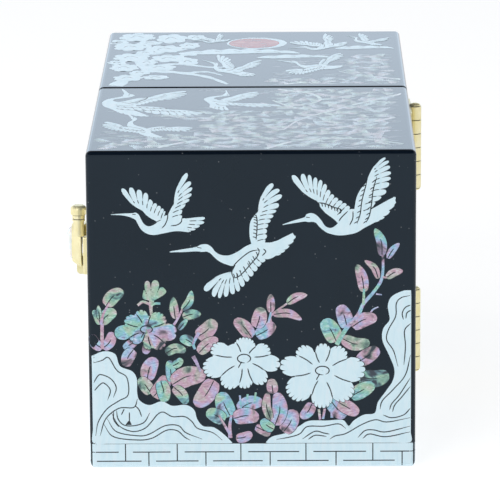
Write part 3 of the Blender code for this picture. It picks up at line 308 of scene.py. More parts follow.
# short-pile cotton velvet: deep wine red, pile that lies in soft patches, light at grazing
# angles. Real pile is 0.1 mm, drawn coarser to show
velvet = noisyFinish(
    "shortPileVelvet", {"colour": dict(size=0.012), "pile": dict(size=0.0004, detail=2.0)},
    [(0.3, "#4d0f18"), (0.7, "#6a1a24")], relief=("pile", 0.5, 0.0003),
    sockets={"Roughness": 0.95, "Sheen Weight": 0.6, "Sheen Roughness": 0.35,
             "Sheen Tint": hexColour("#c98a90"), "Specular IOR Level": 0.1})
# stained and sealed hardwood: red brown, 1 to 2 mm growth lines along x, fine pores
innerWood = noisyFinish(
    "stainedHardwood",
    {"colour": dict(size=0.0025, detail=4.0, roughness=0.6, distortion=0.4, stretch=(0.08, 1, 1)),
     "pores": dict(size=0.0006, detail=2.0, stretch=(0.08, 1, 1))},
    [(0.3, "#3c1b12"), (0.5, "#4d2417"), (0.72, "#5f3020")], rough=("pores", 0.32, 0.5),
    relief=("pores", 0.2, 0.0002), sockets={"IOR": 1.5})
# back-silvered mirror: bright, sharp, with faint wiping haze
silveredGlass = noisyFinish(
    "silveredMirrorGlass", {"colour": dict(size=0.02, roughness=0.6, distortion=1.0)},
    [(0.3, "#e6ecee"), (0.7, "#eef2f2")], rough=("colour", 0.01, 0.05), sockets={"Metallic": 1.0})
slotFinish = {"black_lacquer": lacquer, "inner_wood": innerWood, "velvet": velvet,
              "pale_brass": paleBrass, "mirror_silver": silveredGlass, "shell": cabochonShell}
print("finishes made")

# drawing: every cut piece is a thin slab between two edges, in millimetres on a face. A motif
# is a list of (finish, sheet of points, tone)
cutShape = {"width": 0.38, "endShare": 0.35, "taper": 8}   # an engraved line, thin at its ends
outline = 0.2   # lacquer that shows round a leaf or flower where it lies over another
feather = {"roundness": 2.6, "open": 0.95, "slope": 1.4, "cut": 0.28, "samples": 400}


def curve(points, steps):
    # Catmull-Rom curve through the points: each span is the cubic that leaves a point
    # along the line between its neighbours
    p = np.asarray(points, float)
    p = np.vstack([2 * p[0] - p[1], p, 2 * p[-1] - p[-2]])
    t = np.linspace(0, len(points) - 1, steps)
    k = np.minimum(t.astype(int), len(points) - 2)
    f = (t - k)[:, None]
    a, b, c, d = p[k], p[k + 1], p[k + 2], p[k + 3]
    return 0.5 * (2 * b + (c - a) * f + (2 * a - 5 * b + 4 * c - d) * f ** 2
                  + (3 * b - a - 3 * c + d) * f ** 3)


def sideOf(path):
    # unit vectors square to a path, to its left
    ahead = np.gradient(path, axis=0)
    ahead /= np.linalg.norm(ahead, axis=1)[:, None] + 1e-9
    return np.stack([-ahead[:, 1], ahead[:, 0]], 1)


def band(first, second, shares=(0, 1)):
    # the sheet between two edges of equal length, with a column at each share of the way
    return first[:, None] + (second - first)[:, None] * np.asarray(shares, float)[None, :, None]


def between(first, second, steps, shares=(0, 1)):
    # pale shell between two curves, given by their points
    return [("shell", band(curve(first, steps), curve(second, steps), shares), 0.0)]


def ribbon(points, halfWidth, steps=0):
    # the sheet that follows a curve, halfWidth to each side: one number, or one for each step
    path = curve(points, steps or 8 * len(points))
    offset = sideOf(path) * np.broadcast_to(np.asarray(halfWidth, float), len(path))[:, None]
    return band(path - offset, path + offset)


def cutLine(points, width=cutShape["width"], steps=0):
    # an engraved line with tapered ends
    steps = steps or max(6, 5 * len(points))
    s = np.linspace(0, 1, steps)
    fullness = np.minimum(1, cutShape["taper"] * np.minimum(s, 1 - s))
    half = width / 2 * (cutShape["endShare"] + (1 - cutShape["endShare"]) * fullness)
    return ("cut", ribbon(points, half, steps), 0.0)


def arc(base, tip, bend):
    # three points of a bow from base to tip, bend being its height as a share of the length
    base, tip = np.asarray(base, float), np.asarray(tip, float)
    along = tip - base
    return [base, (base + tip) / 2 + bend * np.array([-along[1], along[0]]), tip]


def leaf(base, tip, halfWidth, tone, bend, blunt, fullest=0.8):
    # width follows an ellipse whose widest place shifts with fullest; blunt below 1 rounds
    # the tip and above 1 points it; a cut runs up the middle to two thirds
    bow, steps = arc(base, tip, bend), 26
    s = np.linspace(0, 1, steps)
    width = halfWidth * (2 * np.sqrt(s ** fullest * (1 - s ** fullest)) + 1e-6) ** blunt
    return [("under", ribbon(bow, width + outline, steps), 0.0),
            ("abalone", ribbon(bow, np.maximum(width, 0.05), steps), tone),
            cutLine(curve(bow, 21)[0:15:3], 0.36, 10)]


def fan(bone, tips, depth, deepest, cutTo=0.45, finish="shell", tone=0.0, sweep=0.0, bow=0.0):
    # feathers or petal fringes: the sheet from the bone curve out to a curve through the tips,
    # pulled back between each two tips by a share of its length, from depth at the first to
    # deepest at the last, as the side of a rounded finger. The last finger starts short of
    # the bone's end by sweep, so that the fingers lean along the bone, and each is bowed
    # sideways by bow of its length
    last, end = len(tips) - 1, feather["samples"] - 1
    t = np.linspace(-0.5, last + 0.5, 12 * len(tips) + 1)
    way = np.clip(t, 0, last) / last
    inner = curve(bone, end + 1)[np.round(way * (1 - sweep * way) * end).astype(int)]
    tipCurve = curve(tips, end + 1)
    low = np.floor(way * end).astype(int)
    outer = tipCurve[low] + (tipCurve[np.minimum(low + 1, end)] - tipCurve[low]) \
        * (way * end - low)[:, None]
    slope = np.where(t[:, None] < 0, tipCurve[8] - tipCurve[0], tipCurve[-1] - tipCurve[-9]) / 8
    outer = outer + (t - np.clip(t, 0, last))[:, None] * slope * end / last * 0.8
    gap = np.abs((t + 0.5) % 1 - 0.5) * 2
    gap[[0, -1]] = 1
    finger = 1 - np.minimum(1, gap / feather["open"]) ** feather["roundness"]
    pull = depth + (deepest - depth) * way ** feather["slope"]
    share = 1 - pull * (1 - finger ** (1 / feather["roundness"]))
    ahead = outer - inner
    aside = np.stack([-ahead[:, 1], ahead[:, 0]], 1) * bow * 4

    def along(c):
        return inner + ahead * c[:, None] + aside * (c * (1 - c))[:, None]

    columns = np.linspace(0, 1, 7 if bow else 2)
    pieces = [(finish, np.stack([along(share * k) for k in columns], 1), tone)]
    for i in range(last):
        at = np.argmin(np.abs(t - (i + 0.5)))
        near = min(cutTo, share[at] - 0.05)
        places = [np.full(len(t), near + (share[at] - near) * k) for k in (0, 0.5, 1)]
        pieces.append(cutLine([along(c)[at] for c in places], feather["cut"], 6))
    return pieces


def oval(centre, radius, finish):
    # an ellipse as the sheet between its left and right halves
    s = np.linspace(-np.pi / 2, np.pi / 2, 24)
    left, right = [np.stack([side * (np.cos(s) * radius[0] + 0.01), np.sin(s) * radius[1]], 1)
                   for side in (-1, 1)]
    return [(finish, band(left + centre, right + centre), 0.0)]


def ringCut(centre, radius, tail):
    # the open ring at a flower's centre, with its tail
    s = np.linspace(-0.35, 1.55, 15) * np.pi
    loop = np.stack([centre[0] + radius[0] * np.cos(s), centre[1] + radius[1] * np.sin(s)], 1)
    return [cutLine(loop, 0.4, 40), cutLine([loop[-1] * 0.5 + loop[-4] * 0.5, tail], 0.36)]


def placed(motif, move=(0, 0), scale=1.0, degrees=0.0, mirror=(1, 1)):
    # a copy of a motif, turned, scaled, mirrored and moved
    turn = np.radians(degrees)
    spin = np.array([[np.cos(turn), -np.sin(turn)], [np.sin(turn), np.cos(turn)]]) * scale
    return [(finish, (grid @ spin.T) * mirror + np.asarray(move, float), tone)
            for finish, grid, tone in motif]


def ticks(points, count, reach):
    # short parallel cuts that hang from a line
    path, reach = curve(points, 4 * count + 1)[2:-1:4], np.asarray(reach)
    return [cutLine([p, p + reach * 0.55 + 0.1, p + reach], 0.32, 6) for p in path]


# motifs, in millimetres on the right end: u from the front edge, v up from the table


def craneA():
    # flying left, both wings up
    tail = fan([(29, 86.6), (30, 85), (30, 83.8)], [(39.6, 87.2), (39.3, 85.6), (37.6, 84.2),
        (36.2, 83.2), (34.6, 82.6)], 0.26, 0.20, cutTo=0.5)
    right = fan([(25.6, 83.8), (26.6, 86.5), (27.6, 89), (29, 91.6), (30.6, 93.4), (31.6, 95.4)],
        [(31.2, 86), (32, 87.6), (32, 89.4), (33, 91.4), (34.4, 93.3), (35.2, 95.2), (35.5, 97.4),
        (35.1, 99.4), (34, 102.4)], 0.16, 0.52, cutTo=0.4, sweep=0.36, bow=0.08)
    left = fan([(25.4, 84.2), (23.4, 86.2), (21, 87.6), (19.2, 89.4), (18, 91.4), (16.9, 93)],
        [(26.4, 89.6), (25.8, 90.4), (24.7, 91.4), (23.4, 92.3), (22, 93.3), (20.4, 95.8), (18, 97),
        (15.2, 97.8), (12.3, 97.5)], 0.18, 0.54, cutTo=0.4, sweep=0.36, bow=0.08)
    body = between([(8.3, 88.62), (12, 88.9), (15.2, 89.0), (16.6, 89.2), (17.7, 88.3),
        (18.5, 86.6), (19.5, 85.1), (21, 84.5), (23, 85.3), (26.6, 88.2), (30, 87.1),
        (33, 87.2)], [(8.3, 88.5), (12, 88.3), (14.6, 87.7), (16.4, 86.8), (16.9, 86), (17.4, 85),
        (18.3, 83.5), (20, 82.1), (22.5, 81.5), (26, 82.1), (30, 82.8), (34.2, 82.4)], 72)
    cuts = [cutLine([(27.1, 90), (27.2, 87.5), (26.4, 85.2), (25.2, 83.8)]),
            cutLine([(25, 86.7), (23.3, 85.9), (21.8, 85.3)], 0.26),
            cutLine([(32, 87.2), (31.6, 85.8), (30.2, 84.9), (28.2, 84.6)]),
            cutLine([(15.4, 88.7), (16.6, 88.5)], 0.26)]
    return tail + left + right + body + cuts


def craneB():
    # flying left, one wing up and one down
    upper = fan([(55.4, 77), (54.6, 80), (54.4, 83), (54.8, 86), (56.2, 88.2), (58, 90),
        (59.7, 92.4), (60.7, 94.4)], [(59.6, 79), (60.2, 80.8), (60.2, 82.6), (60.6, 84.4),
        (61.4, 86), (62.3, 87.6), (63.3, 89.4), (64.2, 91.2), (65.3, 94.7), (64.4, 96.9),
        (62.3, 98.9)], 0.14, 0.54, cutTo=0.4, sweep=0.34, bow=0.09)
    lower = fan([(57.4, 76.4), (54, 75.4), (50.8, 72.6), (49, 69.6), (47.8, 67), (45.4, 65)],
        [(60.6, 73.4), (59.4, 72.2), (58, 70.9), (56.8, 69.2), (55.4, 67.4), (54, 65.6),
        (52.4, 63.8), (50.8, 62), (48.9, 61), (46.5, 60.1), (44.2, 59.6), (42.2, 60.1),
        (39.3, 62.2)], 0.16, 0.52, cutTo=0.4, sweep=0.34, bow=-0.09)
    tail = fan([(60.5, 78.4), (61.5, 76), (61, 74.4)], [(69.8, 80.7), (69, 79), (67.4, 77),
        (66, 75.6), (64.6, 74.6)], 0.28, 0.22, cutTo=0.45)
    body = between([(27.8, 75.8), (32.5, 76.6), (36.6, 77.3), (38.2, 78.1), (40.2, 78.2),
        (41.8, 77.2), (43, 75.6), (45, 74.5), (47.6, 74.4), (50.4, 75.6), (53.4, 77.6), (57, 78.8),
        (62, 78.8), (66, 80.6), (68.8, 82)], [(27.8, 75.5), (32.5, 75.6), (36.8, 75.8),
        (38.6, 75.6), (40, 75.7), (41.2, 75.2), (42.4, 74), (44.2, 72.4), (46.5, 71.3),
        (49.2, 70.8), (53.4, 73.4), (57, 74), (60.6, 73), (64.5, 75.2), (69.8, 80.4)], 84)
    covert = [(56.7, 88.3), (57, 86), (56.9, 83), (56.6, 79.6)]
    low = [(57.8, 76.2), (57, 74), (55, 71.6), (52.4, 68.6), (50.6, 67), (48.9, 66.5)]
    cuts = [cutLine(covert), cutLine([(57.8, 76.3), (54.6, 75.6), (51.6, 73.4), (49.2, 70.9),
        (48.4, 68.6), (48.9, 66.5)]), cutLine(low), cutLine([(59, 76.6), (59.8, 75.6),
        (58.6, 74.2)]), cutLine([(36.9, 77.2), (38.4, 76.9)], 0.26)]
    cuts += ticks(covert, 8, (-1.2, 0.5)) + ticks(low, 8, (-0.6, 1.4))
    return tail + upper + lower + body + cuts


def craneC():
    # the largest, wings spread up to both sides
    left = fan([(85, 84), (82.6, 86.6), (80, 88.6), (78.2, 90.6), (76.9, 93), (75.2, 95.2),
        (73.6, 97.2)], [(88.6, 89.6), (87.7, 91), (86.5, 92), (85.1, 92.9), (83.7, 93.9),
        (82.4, 95), (81.2, 96.4), (80, 98.5), (78.4, 100), (76.6, 100.9), (74.5, 101.8),
        (72.3, 102.2), (69, 101.8)], 0.16, 0.52, cutTo=0.4, sweep=0.34, bow=0.08)
    right = fan([(88.6, 83.6), (89, 87), (89.5, 91), (90.2, 94.4), (91.8, 97.4), (94, 99.6),
        (96.6, 101.2), (97.6, 103.6)], [(93.8, 86.4), (95, 89), (96, 91.6), (98, 93.6),
        (99.8, 95.6), (100.9, 98.4), (101.4, 100.5), (101.5, 102.4), (101.2, 104.5), (100.8, 106.4),
        (99.6, 107.6)], 0.13, 0.46, cutTo=0.5, sweep=0.32, bow=0.09)
    tail = fan([(94, 89.4), (94.8, 87.4), (93.6, 85.4)], [(103.1, 93.7), (102.6, 91.2),
        (100.8, 88.6), (99, 86.8), (97.4, 85.9)], 0.26, 0.22, cutTo=0.45)
    body = between([(65.5, 84.95), (69, 86.2), (72.6, 87.3), (73.4, 88.3), (75, 88.8), (76.8, 88),
        (78.4, 86.2), (79.8, 84.2), (81.8, 83.7), (84, 85.4), (86.8, 89.4), (89.2, 90.1),
        (93, 89.4), (96, 90.4), (99, 91.6), (102.6, 94.3)], [(65.5, 84.75), (69.4, 85.4),
        (72.8, 85.9), (74, 85.7), (75.4, 85.8), (76.6, 85.4), (77.6, 84.2), (79, 82.9),
        (80.8, 81.8), (84, 81.1), (87, 81.3), (90, 82), (93, 83.8), (95.6, 85.2), (98.4, 87),
        (103.2, 92.2)], 88)
    covert = [(76.9, 92.4), (79.6, 92), (82.4, 90.8), (85, 89.8), (83.6, 88)]
    rightA = [(93.5, 99.2), (92.6, 96), (91.8, 92.5), (91.3, 88.5), (90.2, 85)]
    rightB = [(96.8, 101.2), (95.6, 96.5), (95.1, 92), (94.4, 88), (93.3, 85.5)]
    cuts = [cutLine(covert), cutLine(rightA), cutLine(rightB), cutLine([(88.9, 89.4), (88.8, 86.8),
        (87.8, 84.6)]), cutLine([(87.2, 89.4), (85.2, 87.4), (84.2, 86)]), cutLine([(73.2, 87.4),
        (74.6, 87.2)], 0.26)]
    cuts += ticks(covert[:4], 8, (0.3, -1.3)) + ticks(rightA, 8, (-1.2, -0.7)) + ticks(rightB, 8,
        (-1.3, -0.9))
    return tail + left + right + body + cuts


petal = {"spread": 0.8, "roundness": 2.6, "fall": 0.20, "nick": 0.15, "reach": 1.12, "heart": 0.66,
         "inner": 0.06, "outline": 1.3}


def blossom(centre, petals, radius, finish="shell", tones=None):
    # petals are (tip, half width, fringes). Going round the centre, the outline is the
    # furthest petal: each is its length less a share that grows to its sides, nicked between
    # its fringes. Cuts part the petals and a ring marks the centre
    c = np.asarray(centre, float)
    tips = np.array([p[0] for p in petals]) - c
    lengths, angles = np.linalg.norm(tips, axis=1), np.arctan2(tips[:, 1], tips[:, 0])
    theta = np.linspace(-np.pi, np.pi, 2161)[:, None]
    halves = np.arctan2([p[1] for p in petals], lengths * petal["spread"])
    x = ((theta - angles + np.pi) % (2 * np.pi) - np.pi) / halves
    fringes = np.array([p[2] for p in petals])
    nick = np.abs(((x + 1) * fringes / 2) % 1 - 0.5) * 2
    nicks = petal["nick"] * (1 - (1 - np.minimum(nick, 1) ** 3) ** 0.4) \
        * (np.abs(x) < 1 - 0.5 / fringes)
    reach = lengths * (1 - petal["fall"] * np.abs(x) ** petal["roundness"] - nicks) \
        * (np.abs(x) <= petal["reach"])
    order = np.argsort(angles)
    ordered = angles[order]
    theta = theta[:, 0]
    floor = np.interp(theta, np.r_[ordered - 2 * np.pi, ordered, ordered + 2 * np.pi],
                      np.tile(lengths[order], 3))
    away = np.maximum(reach.max(1), petal["heart"] * floor)[:, None]
    away[-1] = away[0]
    ray = np.stack([np.cos(theta), np.sin(theta)], 1)
    ray[-1] = ray[0]
    inner, edge = c + petal["inner"] * ray, c + away * ray
    made = [("under", band(inner, edge + outline * petal["outline"] * ray), 0.0)]
    if tones is None:
        made.append((finish, band(inner, edge), 0.0))
    else:
        nearest = np.argmin(np.abs(x), axis=1)
        starts = np.r_[0, np.flatnonzero(np.diff(nearest)) + 1, len(theta) - 1]
        made += [(finish, band(inner[a:b + 1], edge[a:b + 1]), tones[nearest[a]])
                 for a, b in zip(starts[:-1], starts[1:]) if b > a + 1]
    for i, start in enumerate(ordered):
        gap = (ordered[(i + 1) % len(ordered)] - start) % (2 * np.pi)
        at = np.flatnonzero(((theta - start) % (2 * np.pi) < gap) & (theta != start))
        k = at[np.argmin(away[at, 0] / floor[at])]
        way, far = ray[k], away[k]
        bow = np.array([-way[1], way[0]]) * 0.025 * far * (1 if i % 2 else -1)
        made.append(cutLine([c + way * far * 0.42, c + way * far * 0.7 + bow,
                             c + way * far * 1.02], 0.4))
    return made + ringCut(centre, radius, (c + (-radius[0] * 0.9, -radius[1] * 2.2)))


whiteFlowerOne = blossom((52.3, 38.5), [((52.7, 45.9), 4.4, 8), ((61.0, 41.9), 3.1, 5),
    ((64.4, 36.2), 3.0, 3), ((59.2, 29.8), 2.9, 4), ((52.5, 28.0), 2.9, 5), ((45.8, 28.3), 3.4, 5),
    ((38.6, 34.4), 3.9, 6), ((41.3, 42.2), 3.1, 5)], (2.2, 1.5))
whiteFlowerTwo = blossom((78.6, 34.2), [((78.9, 43.7), 2.6, 4), ((86.0, 41.9), 3.4, 5),
    ((93.0, 34.6), 4.6, 5), ((88.0, 24.4), 4.4, 6), ((78.4, 21.0), 3.7, 6), ((67.4, 25.2), 4.8, 7),
    ((64.4, 36.4), 3.6, 4), ((70.6, 42.2), 3.2, 5)], (2.3, 1.5))
bluePeony = blossom((19.6, 48.8), [((9.0, 47.4), 2.6, 1), ((12.6, 52.6), 2.6, 4), ((17.2, 55.4),
    2.4, 4), ((25.6, 53.6), 3.4, 6), ((29.8, 47.4), 3.2, 2), ((25.2, 42.4), 2.8, 4), ((20.6, 41.8),
    1.8, 3), ((14.6, 44.6), 2.4,
    2)], (2.0, 1.3), "abalone", (0.14, 0.06, 0.02, 0.3, 0.9, 0.8, 0.45, 0.1))
peonyBud = fan([(20.2, 59), (21.4, 58.6), (22.6, 59)], [(18.6, 61.2), (19.6, 65.4), (23.2, 65.8),
    (26.0, 62.8)], 0.4, 0.45, cutTo=0.5, finish="abalone", tone=0.42)
peonyBud += [("abalone", ribbon([(21.6, 59.5), (21.2, 56), (21.8, 52)],
    [0.9, 0.8, 0.7, 0.6, 0.5, 0.5, 0.5, 0.5], 8), 0.4), ("abalone", ribbon([(16.8, 57.2),
    (18.6, 58.4), (20.8, 57.6)], 0.45), 0.42), ("abalone", ribbon([(24.4, 57.8), (22.8, 57.8),
    (21.2, 57.2)], 0.42), 0.3)]

# base, tip, half width, tone, then bend and blunt; a tone over 1 is a smoky piece
leafRows = [
    ((6.2, 57), (12, 62.4), 2.4, 0.45, 0.10, 0.8), ((4.2, 51), (9.6, 55.2), 2.3, 0.2, 0.10, 0.8),
    ((4.2, 50.5), (1.8, 55.5), 1.5, 0.4, -0.1, 1.0), ((4.0, 52.2), (3.6, 57.2), 0.9, 0.4, 0.0, 1.2),
    ((4.8, 42.2), (1.3, 47.0), 1.8, 0.8, 0.16, 0.7),
    ((4.8, 42.2), (8.0, 48.0), 1.9, 0.72, -0.16, 0.7),
    ((29.4, 52.4), (28.8, 60), 1.5, 0.45, 0.02, 1.2),
    ((31.6, 55.4), (34.9, 62.2), 1.4, 0.3, -0.12, 1.2),
    ((31.8, 53), (38, 54.0), 1.7, 0.42, 0.08, 1.1),
    ((30.4, 48.6), (33.4, 52.4), 0.9, 0.25, 0.0, 0.8),
    ((35.3, 43.6), (30.7, 45.6), 1.8, 0.3, -0.1, 0.9),
    ((36.6, 46), (42.6, 52), 2.7, 0.6, -0.08, 0.7),
    ((37, 40.4), (43.6, 45.6), 2.1, 0.55, 0.06, 0.9),
    ((16.0, 44.6), (11.8, 42.2), 1.6, 1.7, 0.0, 0.8),
    ((15.2, 41.8), (12.6, 35.8), 2.2, 1.7, -0.1, 0.7), ((20.2, 44), (19, 40.2), 1.5, 1.7, 0.0, 0.8),
    ((19.6, 31), (22.6, 38.9), 2.7, 0.72, 0.08, 0.8), ((21, 26.4), (17.2, 32), 2.2, 0.5, 0.0, 0.7),
    ((21.6, 25.2), (26.2, 32.6), 2.6, 0.68, -0.08, 0.7),
    ((24.2, 30.8), (25.4, 23.4), 2.3, 0.2, 0.05, 0.7), ((28, 30.4), (27.2, 38), 1.7, 0.2, 0.0, 0.7),
    ((28.3, 36), (31.4, 38.6), 1.4, 0.3, -0.1, 0.7), ((26, 40.4), (32.8, 41.2), 1.7, 1.3, 0.2, 0.7),
    ((28, 29.4), (39.4, 32.6), 3.5, 0.6, 0.12, 0.8),
    ((42.2, 31), (35.8, 21.9), 3.2, 0.62, 0.06, 0.75),
    ((28.5, 28.6), (32.8, 22.6), 1.9, 0.3, 0.1, 0.8),
    ((47.6, 18.2), (44.4, 26.8), 3.0, 0.12, 0.05, 0.75),
    ((45.6, 16.6), (39.4, 19.8), 2.5, 0.3, -0.06, 0.8),
    ((50.2, 20.4), (58.6, 23.2), 2.6, 0.85, 0.12, 0.8),
    ((48.6, 17.4), (57.2, 17.4), 2.8, 0.75, 0.12, 0.8),
    ((49.4, 10.4), (54.8, 12.4), 1.8, 0.62, -0.1, 0.8),
    ((56, 14.6), (60.8, 11.4), 1.6, 0.72, 0.05, 0.8),
    ((55, 45.8), (49.2, 52.2), 2.4, 0.7, -0.06, 0.8),
    ((56.4, 46.4), (62.6, 50.8), 2.3, 0.8, -0.06, 0.7),
    ((56.5, 49.2), (58, 56.4), 2.5, 0.66, -0.05, 0.8),
    ((61.4, 54.4), (61.4, 60.9), 1.4, 0.75, 0.0, 1.1),
    ((66.8, 57.6), (73.6, 60.6), 1.5, 0.4, 0.1, 1.2),
    ((62, 53.8), (71.8, 51.9), 1.5, 0.68, 0.14, 1.2),
    ((83.4, 44.2), (79, 52), 3.0, 0.25, -0.04, 0.7), ((87, 49), (84.4, 57), 2.6, 0.9, -0.04, 0.7),
    ((88.6, 49.4), (97, 52.6), 2.5, 0.76, 0.10, 0.8),
    ((92.6, 61.4), (90.2, 71), 1.9, 0.62, -0.06, 1.0),
    ((97.4, 66.0), (92.8, 72.4), 1.2, 0.56, -0.14, 1.2),
    ((100, 66.3), (105.6, 68.8), 1.4, 0.56, 0.1, 1.1),
    ((100.4, 73), (104.4, 78.3), 1.2, 0.9, 0.06, 1.2),
    ((98.6, 73.8), (96.2, 83.4), 1.7, 0.04, -0.10, 1.1),
    ((85.2, 45.4), (94.6, 44), 2.3, 1.35, -0.14, 0.8),
    ((90.6, 37), (97.6, 41.8), 2.6, 1.6, 0.0, 0.7), ((91, 32), (101, 32.8), 3.0, 1.25, -0.12, 0.7),
    ((88, 25), (96, 29.4), 2.6, 0.3, 0.0, 0.7), ((80.8, 24.4), (86.0, 17.4), 2.6, 0.9, 0.0, 0.7),
    ((84.0, 23), (90.8, 19), 2.4, 0.6, 0.0, 0.7), ((75.2, 22.8), (71.2, 17.6), 2.0, 0.8, 0.1, 0.8),
    ((65.4, 12.6), (68.8, 20.6), 2.7, 0.85, -0.1, 0.7),
    ((62.6, 15.0), (63.2, 26.6), 2.6, 0.85, -0.12, 0.8),
    ((61.2, 17), (60.2, 26.6), 1.5, 0.6, 0.1, 0.8), ((62, 26.2), (61.4, 31.4), 1.9, 0.62, 0.0, 0.8),
    ((62.2, 13.6), (58.2, 17.2), 1.8, 0.2, 0.1, 0.7)]
# points along the stem, tone, then the half width at its start and its end
stemRows = [
    ([(4.8, 50.8), (4.7, 46), (4.8, 42)], 0.56, 0.55, 0.6),
    ([(4.3, 50.6), (5.4, 54.5), (7.4, 58.2)], 0.7, 0.5, 0.3),
    ([(28.6, 50), (30, 52.2), (31.8, 55.8)], 0.56, 0.45, 0.35),
    ([(35.8, 41.8), (35.4, 44), (37.2, 47.6)], 0.9, 0.4, 0.6),
    ([(35.2, 39.4), (36.4, 37), (37.6, 34)], 0.95, 0.7, 0.35),
    ([(47.5, 10.6), (47.3, 14.6), (47.9, 18.6)], 0.72, 0.7, 0.4),
    ([(47.4, 12), (45.4, 15.4), (43.6, 18.8)], 0.84, 0.5, 0.3),
    ([(50.8, 25.6), (51.2, 21)], 0.0, 0.35, 0.3), ([(53.4, 26), (53.4, 22.6)], 0.02, 0.35, 0.3),
    ([(56.2, 26.6), (55.6, 22.6)], 0.05, 0.35, 0.3),
    ([(61.4, 51), (61.6, 53.6), (66.8, 57.6)], 0.66, 0.4, 0.3),
    ([(60.6, 51), (61.4, 54.6)], 0.97, 0.4, 0.3),
    ([(83.4, 43.2), (86.8, 49), (90.6, 53.6), (92.4, 57.4), (95.6, 61.2), (98.2, 65.2), (98.9, 69),
        (98.9, 74)], 0.97, 0.75, 0.4), ([(92.4, 57), (92.6, 62.6)], 0.3, 0.5, 0.35),
    ([(96.6, 60.8), (98.6, 60.5)], 0.9, 0.3, 0.15),
    ([(94.6, 54), (95.6, 55.4), (97.4, 56.3)], 0.9, 0.3, 0.2),
    ([(98.8, 66.6), (100.4, 66.4)], 0.6, 0.3, 0.3), ([(77.4, 20.6), (77.8, 17)], 0.62, 0.4, 0.4),
    ([(79.4, 20.8), (78.8, 17.2)], 0.7, 0.4, 0.4), ([(82, 21), (81.8, 17.6)], 0.95, 0.6, 0.5)]
leaves = [piece for row in leafRows for piece in leaf(*row)]
leaves += [("abalone", ribbon(points, np.linspace(start, end, 8 * len(points))), tone)
           for points, tone, start, end in stemRows]
# a rock's columns crowd where the case's edge is round
edgeShares = (0, 0.012, 0.025, 0.04, 0.06, 0.09, 0.14, 0.3, 0.65, 1)


def rockLeft():
    top = curve([(1, 39.6), (5.2, 41.2), (9, 40.2), (10.6, 36), (14.6, 34.2), (16.2, 31.4),
        (16.2, 27), (17, 24), (20.2, 22.3), (24.5, 23.6), (28, 22), (32.5, 22.3), (35.3, 20.6),
        (36.4, 17.2), (38.4, 14.8), (42, 14.3), (45.4, 11.8), (48.2, 8.9)], 120)
    foot = curve([(1.1, 38.6), (1.1, 36), (1.1, 33), (1.1, 29.5), (1.1, 26), (1.1, 22.4),
        (1.1, 18.5), (1.1, 14), (1.1, 8.9), (6, 8.7), (11, 8.7), (16, 8.7), (21, 8.7), (26, 8.7),
        (31, 8.7), (36, 8.7), (41, 8.7), (47.6, 8.7)], 120)
    lines = [
        [(1, 37), (4.5, 38), (6.8, 39), (9.5, 34.5), (12.8, 32), (13.2, 26), (10, 23.8), (6, 21),
            (3, 16.5), (2, 11.5)],
        [(1, 29), (3, 32.5), (4.5, 33), (7.5, 31.5), (9.2, 28.5), (8.2, 25)], [(0.8, 26.2),
            (4, 29.8), (5.5, 29.8), (7.2, 27.5), (6.2, 24)],
        [(3.5, 11.5), (5.5, 17.5), (10, 21.2), (15, 21.5), (16.3, 24.5)], [(15.4, 22.2),
            (16.8, 20.6), (17.6, 18.2)],
        [(7.5, 19.5), (10, 15), (14.5, 13), (18.5, 14), (21, 16.5), (23, 19), (25, 19.8),
            (28, 18.2), (32, 18.2), (34.5, 16.5), (36.5, 14), (41.5, 12.5), (44.8, 9.8)],
        [(6, 17.5), (9, 13), (16, 11.5), (20, 12), (25.5, 15), (30, 15), (32.5, 12.5), (38, 10.2)],
        [(4.8, 15.6), (8, 11.2), (16, 10.0), (21, 10.6), (26, 13.4), (29.6, 13.2), (32, 11),
            (34, 9.8)],
        [(9.2, 20.4), (9.6, 17.6), (11.4, 15.4), (14.6, 15), (18.4, 16.2), (20.4, 19.6)],
            [(10.8, 18.9), (11.8, 21)], [(13.5, 19.8), (13.5, 16.6)],
        [(8.2, 20), (8.2, 17.2), (9.9, 14.6)]]
    pebble = [("cut", band(curve([(12.2, 15.5), (13.4, 16.9), (14.2, 15.5)], 9),
                           curve([(12.2, 15.3), (13.4, 15.3), (14.2, 15.3)], 9)), 0.0)]
    return [("shell", band(foot, top, edgeShares), 0.0)] + [cutLine(cut) for cut in lines] + pebble


